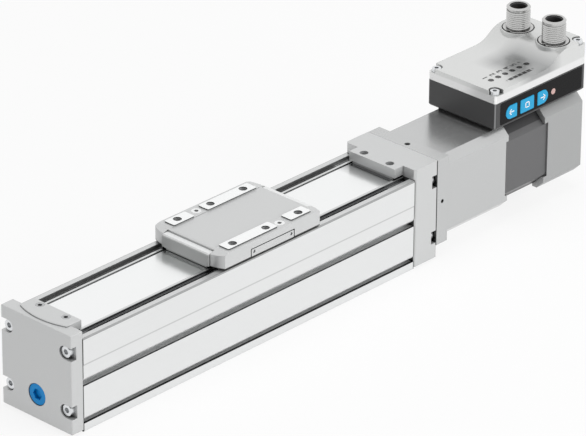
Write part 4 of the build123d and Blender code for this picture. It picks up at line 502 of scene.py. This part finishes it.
def clear_lens(looks):
    # The status lamp's lens, unlit: milky with a warm cast
    return finish(
        "milky_lens", linear("#c9a49e"), grain(0.8),
        spread=0.05, roughness=(0.15, 0.22), bump_mm=0.001, edge_mm=0.1, IOR=1.58,
    )


def black_polyamide(looks):
    # Glass-filled polyamide from a spark-eroded mould: dark grey with a matt texture finer than can show,
    # drawn at 0.25 mm, and a painted highlight on its two upright edges
    low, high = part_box("drive_base")
    corner_highlight = {"X": (low.x, low.x + 0.5 * MM), "side": (high.y - 0.5 * MM, high.y)}
    return finish(
        "black_polyamide", looks.housing, grain(0.25),
        spread=0.12, roughness=(0.32, 0.42), bump_mm=0.008, edge_mm=0.4,
        change=toned(((corner_highlight, 0.4 * MM, "#8d8e8f"),)), IOR=1.53,
    )


def black_film(looks):
    # Printed polyester film round the buttons: a shade blacker than the housing and smoother
    return finish(
        "black_polyester_film", linear("#0d0d0e"), grain(0.3),
        spread=0.08, roughness=(0.24, 0.3), bump_mm=0.002, edge_mm=0.05, IOR=1.57,
        **{"Specular IOR Level": 0.1},
    )


def painted_lid(looks):
    # Moulded lid with a silver metallic paint: satin, its flakes drawn at 0.2 mm because real ones are too fine
    # to show, painted highlights on its rim and front corners, and painted shade at the foot of the rise
    low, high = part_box("drive_lid")
    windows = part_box("status_windows")[1]
    foot = {
        "X": (windows.x - 10 * MM, windows.x + 2 * MM), "Y": (low.y, MM), "Z": (low.z, windows.z + 2 * MM),
    }
    corner = {"X": (low.x, low.x + 0.8 * MM), "side": (high.y - 0.8 * MM, high.y)}
    rim = {"Z": (low.z, low.z + 3.4 * MM)}
    places = ((foot, 10 * MM, "#a9aaaa"), (rim, 0.8 * MM, "#e9e9e9"), (corner, 0.6 * MM, "#fcfcfc"))
    return finish(
        "silver_painted_abs", looks.lid, grain(0.2),
        spread=0.05, roughness=(0.2, 0.27), bump_mm=0.003, edge_mm=0.45, change=toned(places),
        Metallic=0.65,
    )


def tinted_polycarbonate(looks):
    # Smoke-tinted polycarbonate windows: nearly black and glossy
    return finish(
        "tinted_polycarbonate", linear("#121214"), grain(1.0),
        spread=0.1, roughness=(0.08, 0.14), bump_mm=0.001, edge_mm=0.1, IOR=1.58,
    )


def cast_aluminium(looks):
    # Die cast and turned motor bells: a coarser, greyer grain than the milled parts
    return finish(
        "die_cast_aluminium", linear("#afb0b0"), grain(0.45),
        spread=0.08, roughness=(0.4, 0.5), bump_mm=0.015, edge_mm=0.3, Metallic=0.5,
    )


def stator_sheets(looks):
    # Stacked electrical sheet under dark lacquer: fine lines across the motor, pitch drawn at 0.5 mm, with
    # painted shade on its upper and lower corners
    low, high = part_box("motor_stator")
    places = (
        ({"Z": (high.z - 4.5 * MM, high.z)}, 0.3 * MM, "#3f3f40"),
        ({"Z": (low.z, low.z + 3.2 * MM)}, 0.3 * MM, "#1c1c1d"),
    )
    return finish(
        "lacquered_stator_sheet", linear("#6b6b6c"), layers(0.5),
        spread=0.2, roughness=(0.36, 0.46), bump_mm=0.012, edge_mm=0.2, change=toned(places), Metallic=0.3,
    )


def nickel_brass(looks):
    # Turned brass with a nickel coat: bright and neutral, softened by its fine turning lines
    return finish(
        "nickel_plated_brass", linear("#c9c9c8"), grain(0.8, (1, 1, 0.2)),
        spread=0.06, roughness=(0.22, 0.3), bump_mm=0.002, edge_mm=0.06, Metallic=1.0,
    )


def gold_contact(looks):
    # Gold flashed contact pins
    return finish(
        "gold_plated_contact", linear("#e5bb62"), grain(0.4),
        spread=0.06, roughness=(0.14, 0.22), bump_mm=0.001, edge_mm=0.08, Metallic=1.0,
    )


def solder_resist(looks):
    # Glass-epoxy board under green solder resist, with copper runs that show as darker cells
    return finish(
        "solder_resist_board", linear("#1f6b3c"), grain(1.4, (3, 1, 1)),
        spread=0.35, roughness=(0.25, 0.4), bump_mm=0.02, edge_mm=0.1, IOR=1.55,
    )


def white_ink(looks):
    # Pad-printed white ink on the push buttons: flat, with slightly uneven cover
    return finish(
        "white_pad_print", linear("#f4f6f7"), grain(0.3),
        spread=0.05, roughness=(0.5, 0.6), bump_mm=0.001, edge_mm=0.01,
    )


def grey_ink(looks):
    # Pad-printed dark grey ink on the lid
    return finish(
        "dark_pad_print", linear("#2c2d2e"), grain(0.3),
        spread=0.1, roughness=(0.5, 0.6), bump_mm=0.001, edge_mm=0.01,
    )


FINISHES = {
    "profile_aluminium": extruded_aluminium,
    "milled_aluminium": milled_aluminium,
    "housing_aluminium": housing_aluminium,
    "ground_pads": ground_pads,
    "ground_heads": ground_heads,
    "edged_covers": edged_covers,
    "strip_steel": brushed_stainless,
    "bright_steel": ground_steel,
    "screw_steel": zinc_steel,
    "grey_plastic": wiper_polyurethane,
    "buffer_rubber": nitrile_rubber,
    "blue_plastic": blue_polycarbonate,
    "black_plastic": black_polyamide,
    "lid_plastic": painted_lid,
    "window_plastic": tinted_polycarbonate,
    "bell_aluminium": cast_aluminium,
    "stator_steel": stator_sheets,
    "nickel_brass": nickel_brass,
    "gold_contact": gold_contact,
    "circuit_board": solder_resist,
    "white_print": white_ink,
    "grey_print": grey_ink,
    "plug_blue": deep_blue_polyamide,
    "lamp_lens": clear_lens,
    "black_film": black_film,
}

# Pieces whose finish differs from the others in their slot
OWN_FINISH = {
    "coupling_housing": "housing_aluminium",
    "motor_front_bell": "housing_aluminium",
    "side_covers": "edged_covers",
    "clamp_screws": "bright_steel",
    "carriage_plate": "ground_pads",
    "port_screws": "ground_heads",
    "port_plug": "plug_blue",
    "status_light": "lamp_lens",
    "button_foil": "black_film",
}


def material_for(slot):
    """The material of a slot, made the first time it is asked for."""
    scene = bpy.context.scene
    key = f"axis_finish_{slot}"
    if key not in scene:
        scene[key] = FINISHES[slot](scene.axis_looks).name
    return bpy.data.materials[scene[key]]


def grid_faces(rows, columns, wrap_rows=False):
    """Quads of a grid whose columns close into a ring, and its rows too where asked."""
    last = rows if wrap_rows else rows - 1
    row, column = np.meshgrid(np.arange(last), np.arange(columns), indexing="ij")
    start = row * columns
    below = (row + 1) % rows * columns
    beside = (column + 1) % columns
    corners = (start + column, start + beside, below + beside, below + column)
    return np.stack(corners, axis=-1).reshape(-1, 4)


def set_out(name, mesh, slot, body):
    """Gives a mesh its finish, puts it in the scene and lets it ride on its body."""
    mesh.materials.clear()
    mesh.materials.append(material_for(slot))
    piece = bpy.data.objects.new(name, mesh)
    bpy.context.scene.collection.objects.link(piece)
    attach(piece, body)
    return piece


def flat_piece(name, points, faces, slot, body):
    """A piece with flat faces, such as a printed sign."""
    mesh = bpy.data.meshes.new(name)
    mesh.from_pydata(points.tolist(), [], faces.tolist())
    return set_out(name, mesh, slot, body)


def turned_piece(name, points, faces, slot, body, ends=()):
    """A round piece, smooth up to its sharp edges, with flat ends where its rows are open."""
    mesh = bpy.data.meshes.new(name)
    mesh.from_pydata(points.tolist(), [], faces.tolist() + list(ends))
    mesh.polygons.foreach_set("use_smooth", np.full(len(mesh.polygons), True))
    mesh.set_sharp_from_angle(angle=math.radians(SHARP_ANGLE))
    return set_out(name, mesh, slot, body)


def combined(parts):
    """Several sets of points and faces as one set."""
    starts = np.cumsum([0] + [len(points) for points, _ in parts[:-1]])
    points = np.concatenate([points for points, _ in parts])
    faces = np.concatenate([faces + start for (_, faces), start in zip(parts, starts)])
    return points, faces


def threaded_shell(centre, base_z, top_z, pitch, seat_z, flange_r, bore_r):
    """A turned connector shell: a closed outline of radius against height, carried round the upright
    axis. On the thread the radius drops by a triangle wave of height over pitch minus the turn, and one
    notch is cut into the flange where the turn is half round."""
    relief_r = THREAD_R - 0.5 * MM
    flange_top = seat_z + 1.2 * MM
    groove_z = top_z - 2.1 * MM
    flange_edge = 0.15 * MM
    bore_edge = 0.25 * MM
    notch_turn, notch_depth = 0.09, 1.1 * MM
    thread_z = np.arange(flange_top + 0.6 * MM, groove_z, pitch / 8)
    # Each row: radius, height, and one where the thread cuts into it
    outline = [
        (bore_r, base_z, 0), (SHELL_NECK_R, base_z, 0), (SHELL_NECK_R, seat_z, 0), (flange_r, seat_z, 0),
        (flange_r, flange_top - flange_edge, 0), (flange_r - flange_edge, flange_top, 0),
        (relief_r, flange_top, 0), (relief_r, flange_top + 0.5 * MM, 0),
        *((THREAD_R, z, 1) for z in thread_z),
        (relief_r, groove_z, 0), (relief_r, top_z - 1.3 * MM, 0),
        (THREAD_R - 0.05 * MM, top_z - 1.1 * MM, 0), (THREAD_R, top_z - 0.7 * MM, 0),
        (THREAD_R - 0.65 * MM, top_z, 0), (bore_r + bore_edge, top_z, 0), (bore_r, top_z - bore_edge, 0),
    ]
    radius, height, cut = (values[:, None] for values in np.array(outline).T)
    turn = np.linspace(0, TURN, SHELL_COLUMNS, endpoint=False)[None, :]
    phase = (height / pitch - turn / TURN) % 1
    radius = radius - cut * THREAD_DEPTH * np.abs(2 * phase - 1)
    notch = (np.abs(turn - math.pi) < notch_turn) & (np.abs(radius - flange_r) < 2 * flange_edge)
    radius = np.where(notch, radius - notch_depth, radius)
    x = centre[0] + radius * np.cos(turn)
    y = centre[1] + radius * np.sin(turn)
    points = np.stack([x, y, height + 0 * turn], axis=-1).reshape(-1, 3)
    return points, grid_faces(len(outline), SHELL_COLUMNS, wrap_rows=True)[:, ::-1]


def ball_screw(rows, axis_z):
    """A bar turned about its own axis along X: radius against length, and between the journals a round
    ball track that winds along it, cut by a half ellipse of the distance from the track's middle. Each
    row holds its place along X, its radius, and one where the track cuts into it."""
    x, bar_r, cut = (values[:, None] for values in np.array(rows).T)
    turn = np.linspace(0, TURN, SPINDLE_COLUMNS, endpoint=False)[None, :]
    phase = (x / BALL_TRACK_PITCH - turn / TURN) % 1
    hump = np.clip(1 - (np.abs(phase - 0.5) / BALL_TRACK_SHARE) ** 2, 0, 1)
    radius = bar_r - cut * BALL_TRACK_DEPTH * np.sqrt(hump)
    points = np.stack([x + 0 * turn, radius * np.cos(turn), axis_z + radius * np.sin(turn)], axis=-1)
    return points.reshape(-1, 3), grid_faces(len(rows), SPINDLE_COLUMNS)[:, ::-1]


def end_caps(rows):
    """The two flat ends of the spindle, whose rows are rings."""
    first = np.arange(SPINDLE_COLUMNS)
    last = (rows - 1) * SPINDLE_COLUMNS + first
    return [first.tolist(), last[::-1].tolist()]


def plate(start, along, side, lift):
    """A thin bar: a box spanned by three edge vectors from its starting corner."""
    start, along, side, lift = (np.array(v, float) for v in (start, along, side, lift))
    steps = np.array([(a, s, h) for h in (0, 1) for s in (0, 1) for a in (0, 1)], float)
    points = start + steps @ np.stack([along, side, lift])
    faces = np.array([(0, 2, 3, 1), (4, 5, 7, 6), (0, 1, 5, 4), (2, 6, 7, 3), (0, 4, 6, 2), (1, 3, 7, 5)])
    if np.dot(np.cross(along, side), lift) < 0:
        faces = faces[:, ::-1]
    return points, faces


def stroke(start, end, width, lift):
    """A printed line of that width between two points on a face whose normal is the lift."""
    start, end, lift = (np.array(v, float) for v in (start, end, lift))
    along = end - start
    side = np.cross(lift, along)
    side *= width / np.linalg.norm(side)
    return plate(start - side / 2, along, side, lift)


class AXIS_OT_dress_parts(bpy.types.Operator):
    """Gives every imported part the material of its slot"""

    bl_idname = "axis.dress_parts"
    bl_label = "Dress Parts"

    def execute(self, context):
        for entry in frame["record"]["subparts"]:
            name = entry["node"]
            part = frame["nodes"][name]
            material = material_for(OWN_FINISH.get(name, entry["material_slot"]))
            if not part.material_slots:
                part.data.materials.append(material)
            for slot in part.material_slots:
                slot.material = material
        return {"FINISHED"}


class AXIS_OT_cut_threads(bpy.types.Operator):
    """Turns the two connector shells with their thread"""

    bl_idname = "axis.cut_threads"
    bl_label = "Connector Threads"

    def execute(self, context):
        low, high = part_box("socket_shells")
        seat_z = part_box("socket_seals")[0].z
        insert_low, insert_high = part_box("socket_inserts")
        flange_r = (high.x - low.x) / 2
        bore_r = (insert_high.x - insert_low.x) / 2
        pitch = context.scene.axis_looks.thread_pitch
        middle = (low.x + high.x) / 2
        parts = [
            threaded_shell((middle, y), low.z, high.z, pitch, seat_z, flange_r, bore_r)
            for y in (low.y + flange_r, high.y - flange_r)
        ]
        piece = turned_piece("threaded_shells", *combined(parts), "nickel_brass", "axis_frame")
        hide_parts("socket_shells")
        return {"FINISHED"}


class AXIS_OT_wind_spindle(bpy.types.Operator):
    """Winds the ball track round the spindle"""

    bl_idname = "axis.wind_spindle"
    bl_label = "Spindle Track"

    def execute(self, context):
        low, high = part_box("spindle")
        axis_z = (low.z + high.z) / 2
        bar_r = (high.z - low.z) / 2
        journal_r, bearing_r, chamfer = 3.0 * MM, 4.0 * MM, 0.4 * MM
        free_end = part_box("free_end_bearing")[1].x + 0.5 * MM
        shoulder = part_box("fixed_bearings")[0].x - 0.3 * MM
        nut_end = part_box("lock_nut")[1].x + 0.8 * MM
        track_start = free_end + 3.5 * MM
        track_end = shoulder - 5.7 * MM
        count = round((track_end - track_start) / (0.3 * MM))
        rows = [
            (low.x, journal_r - chamfer, 0), (low.x + chamfer, journal_r, 0), (free_end, journal_r, 0),
            (free_end, bar_r, 0),
            *((x, bar_r, 1) for x in np.linspace(track_start, track_end, count)),
            (shoulder, bar_r, 0), (shoulder, bearing_r, 0),
            (nut_end, bearing_r, 0), (nut_end, journal_r, 0),
            (high.x - chamfer, journal_r, 0), (high.x, journal_r - chamfer, 0),
        ]
        points, faces = ball_screw(rows, axis_z)
        piece = turned_piece(
            "ball_screw", points, faces, "bright_steel", "drive_train", ends=end_caps(len(rows))
        )
        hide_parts("spindle")
        return {"FINISHED"}


def front_middle(node):
    """The middle of a node's front face, which looks along minus Y."""
    low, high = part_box(node)
    return np.array([(low.x + high.x) / 2, low.y, (low.z + high.z) / 2])


class AXIS_OT_print_buttons(bpy.types.Operator):
    """Prints an arrow or a plain square on each push button"""

    bl_idname = "axis.print_buttons"
    bl_label = "Button Signs"

    def execute(self, context):
        lift = (0, -PRINT_T, 0)
        for key, way in (("back", -1), ("forward", 1)):
            middle = front_middle(f"{key}_button")
            reach = np.array([way * ARROW_REACH, 0, 0])
            tip = middle + reach
            barb = np.array([-way * ARROW_BARB, 0, ARROW_BARB])
            parts = [stroke(middle - reach, tip, SIGN_W, lift)]
            parts += [stroke(tip, tip + barb * (1, 1, sign), SIGN_W, lift) for sign in (-1, 1)]
            flat_piece(f"{key}_arrow", *combined(parts), "white_print", f"{key}_key")
        square = np.array([(-1, 0, -1), (1, 0, -1), (1, 0, 1), (-1, 0, 1)]) * SQUARE_HALF
        corners = front_middle("stop_button") + square
        sides = zip(corners, np.roll(corners, -1, axis=0))
        parts = [stroke(start, end, SIGN_W, lift) for start, end in sides]
        flat_piece("stop_square", *combined(parts), "white_print", "stop_key")
        return {"FINISHED"}


def printed_digit(text, place):
    """A flat digit whose reading direction runs along +Y, as a mesh in its final place."""
    curve = bpy.data.curves.new(f"digit_{text}", "FONT")
    curve.body = text
    curve.size = DIGIT_SIZE
    curve.align_y = "CENTER"
    curve.extrude = PRINT_T / 2
    curve.offset = DIGIT_WEIGHT
    drawn = bpy.data.objects.new(f"digit_{text}_curve", curve)
    bpy.context.scene.collection.objects.link(drawn)
    bpy.context.view_layer.update()
    mesh = bpy.data.meshes.new_from_object(drawn.evaluated_get(bpy.context.evaluated_depsgraph_get()))
    mesh.transform(Matrix.Translation(Vector(place)) @ Matrix.Rotation(math.pi / 2, 4, "Z"))
    bpy.data.objects.remove(drawn)
    return mesh


class AXIS_OT_print_lid(bpy.types.Operator):
    """Prints a number beside each light window and the signs at the ends of the bar"""

    bl_idname = "axis.print_lid"
    bl_label = "Lid Marks"

    def execute(self, context):
        low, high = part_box("status_windows")
        radius = (high.y - low.y) / 2
        top = high.z + 0.1 * MM
        across = high.y + 1.2 * MM
        for index, x in enumerate(np.linspace(low.x + radius, high.x - radius, WINDOW_COUNT), 1):
            mesh = printed_digit(str(index), (x, across, top + PRINT_T / 2))
            set_out(f"window_number_{index}", mesh, "grey_print", "axis_frame")
        low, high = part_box("position_bar")
        middle = (low.y + high.y) / 2
        minus = np.array([low.x - BAR_SIGN_GAP, middle, top])
        plus = np.array([high.x + BAR_SIGN_GAP, middle, top])
        side = np.array([0, BAR_SIGN_REACH, 0])
        along = np.array([BAR_SIGN_REACH, 0, 0])
        lift = (0, 0, PRINT_T)
        bar = stroke(minus - side, minus + side, BAR_SIGN_W, lift)
        cross = [stroke(plus - reach, plus + reach, BAR_SIGN_W, lift) for reach in (side, along)]
        flat_piece("bar_minus", *bar, "grey_print", "axis_frame")
        flat_piece("bar_plus", *combined(cross), "grey_print", "axis_frame")
        return {"FINISHED"}


def soft_lamp(name, place, size, power):
    """A wide white lamp of that size in metres, aimed at the unit. Metal mirrors the pale room and not the
    lamp, so no side of it clips to white."""
    light = bpy.data.lights.new(name, "AREA")
    light.shape = "RECTANGLE"
    light.size, light.size_y = size
    light.energy = power
    lamp = bpy.data.objects.new(name, light)
    bpy.context.scene.collection.objects.link(lamp)
    lamp.visible_glossy = False
    lamp.location = place
    lamp.rotation_euler = (Vector(LAMP_TARGET) - Vector(place)).to_track_quat("-Z", "Y").to_euler()


def seen_directly(tree):
    """One where a ray comes from the camera, a mirror-like surface or glass, and nought for other rays."""
    path = add_node(tree, "ShaderNodeLightPath")
    total = path.outputs["Is Camera Ray"]
    for name in ("Is Glossy Ray", "Is Transmission Ray"):
        either = add_node(
            tree, "ShaderNodeMath", {"operation": "MAXIMUM"}, {0: total, 1: path.outputs[name]}
        )
        total = either.outputs[0]
    return total


class AXIS_OT_set_stage(bpy.types.Operator):
    """Sets the floor, the soft lamps, the pale world and the camera"""

    bl_idname = "axis.set_stage"
    bl_label = "Stage"

    def execute(self, context):
        self.lay_floor(context)
        self.light_world(context)
        self.place_camera(context)
        context.scene.view_settings.view_transform = "Standard"
        return {"FINISHED"}

    def lay_floor(self, context):
        """A flat disc just under the unit: radius against turn, its innermost ring filled."""
        rings, columns = 8, 48
        radius = np.linspace(0.05, 4.0, rings)[:, None]
        turn = np.linspace(0, TURN, columns, endpoint=False)[None, :]
        level = CAD_BOX[0].z - 0.1 * MM
        points = np.stack([radius * np.cos(turn), radius * np.sin(turn), level + 0 * radius * turn], axis=-1)
        faces = grid_faces(rings, columns)[:, ::-1].tolist() + [list(range(columns))]
        mesh = bpy.data.meshes.new("studio_floor")
        mesh.from_pydata(points.reshape(-1, 3).tolist(), [], faces)
        material = bpy.data.materials.new("pale_studio_floor")
        material.use_nodes = True
        tree = material.node_tree
        tree.nodes.clear()
        colour = (*context.scene.axis_looks.floor, 1)
        seen = seen_directly(tree)
        share = add_node(tree, "ShaderNodeMath", {"operation": "MULTIPLY"}, {0: seen, 1: FLOOR_GLOW})
        matt = add_node(tree, "ShaderNodeBsdfDiffuse", inputs={"Color": colour})
        glow = add_node(tree, "ShaderNodeEmission", inputs={"Color": (1, 1, 1, 1), "Strength": 1.0})
        both = add_node(
            tree, "ShaderNodeMixShader", inputs={0: share.outputs[0], 1: matt.outputs[0], 2: glow.outputs[0]}
        )
        add_node(tree, "ShaderNodeOutputMaterial", inputs={"Surface": both.outputs[0]})
        mesh.materials.append(material)
        floor = bpy.data.objects.new("studio_floor", mesh)
        context.scene.collection.objects.link(floor)

    def light_world(self, context):
        """A pale world that is white to the eye and softer as a light, and two large lamps."""
        world = bpy.data.worlds.new("pale_studio")
        world.use_nodes = True
        tree = world.node_tree
        tree.nodes.clear()
        strength = add_node(
            tree, "ShaderNodeMapRange",
            inputs={"Value": seen_directly(tree), "To Min": ROOM_LIGHT, "To Max": 1.0},
        )
        sky = add_node(
            tree, "ShaderNodeBackground", inputs={"Color": (1, 1, 1, 1), "Strength": strength.outputs[0]}
        )
        add_node(tree, "ShaderNodeOutputWorld", inputs={"Surface": sky.outputs[0]})
        context.scene.world = world
        soft_lamp("side_softbox", (0.5, -1.3, 0.7), (1.2, 0.8), 14)
        soft_lamp("top_softbox", (0.1, 0.1, 1.5), (1.2, 1.0), 10)

    def place_camera(self, context):
        """The camera's axes: right and up turned by the roll, and back along azimuth and elevation."""
        turn, rise, roll = (math.radians(a) for a in (CAMERA_AZIMUTH, CAMERA_ELEVATION, CAMERA_ROLL))
        back = Vector((math.sin(turn) * math.cos(rise), -math.cos(turn) * math.cos(rise), math.sin(rise)))
        right = Vector((math.cos(turn), math.sin(turn), 0))
        up = back.cross(right)
        across = math.cos(roll) * right + math.sin(roll) * up
        upward = math.cos(roll) * up - math.sin(roll) * right
        camera = bpy.data.cameras.new("photo_view")
        camera.sensor_width = SENSOR_MM
        camera.lens = FOCAL_PX / PHOTO_WIDTH_PX * SENSOR_MM
        camera.clip_start = 0.05
        camera.clip_end = 20
        holder = bpy.data.objects.new("photo_view", camera)
        context.scene.collection.objects.link(holder)
        place = Matrix((across, upward, back)).transposed().to_4x4()
        place.translation = Vector(CAMERA_PLACE_MM) * MM
        holder.matrix_world = place
        context.scene.camera = holder


class AXIS_PT_looks(bpy.types.Panel):
    """Lists the colours and the steps in the sidebar"""

    bl_idname = "AXIS_PT_looks"
    bl_label = "Spindle Axis Unit"
    bl_space_type = "VIEW_3D"
    bl_region_type = "UI"
    bl_category = "Axis Unit"

    def draw(self, context):
        looks = context.scene.axis_looks
        for name in AxisLooks.__annotations__:
            self.layout.prop(looks, name)
        for operator in OPERATORS:
            self.layout.operator(operator.bl_idname)


OPERATORS = (
    AXIS_OT_dress_parts,
    AXIS_OT_cut_threads,
    AXIS_OT_wind_spindle,
    AXIS_OT_print_buttons,
    AXIS_OT_print_lid,
    AXIS_OT_set_stage,
)
CLASSES = (AxisLooks, *OPERATORS, AXIS_PT_looks)


def register():
    for entry in CLASSES:
        bpy.utils.register_class(entry)
    bpy.types.Scene.axis_looks = PointerProperty(type=AxisLooks)


def unregister():
    del bpy.types.Scene.axis_looks
    for entry in reversed(CLASSES):
        bpy.utils.unregister_class(entry)


def main():
    """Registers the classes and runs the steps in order."""
    register()
    bpy.ops.axis.dress_parts()
    bpy.ops.axis.cut_threads()
    bpy.ops.axis.wind_spindle()
    bpy.ops.axis.print_buttons()
    bpy.ops.axis.print_lid()
    bpy.ops.axis.set_stage()


if __name__ == "__main__":
    main()
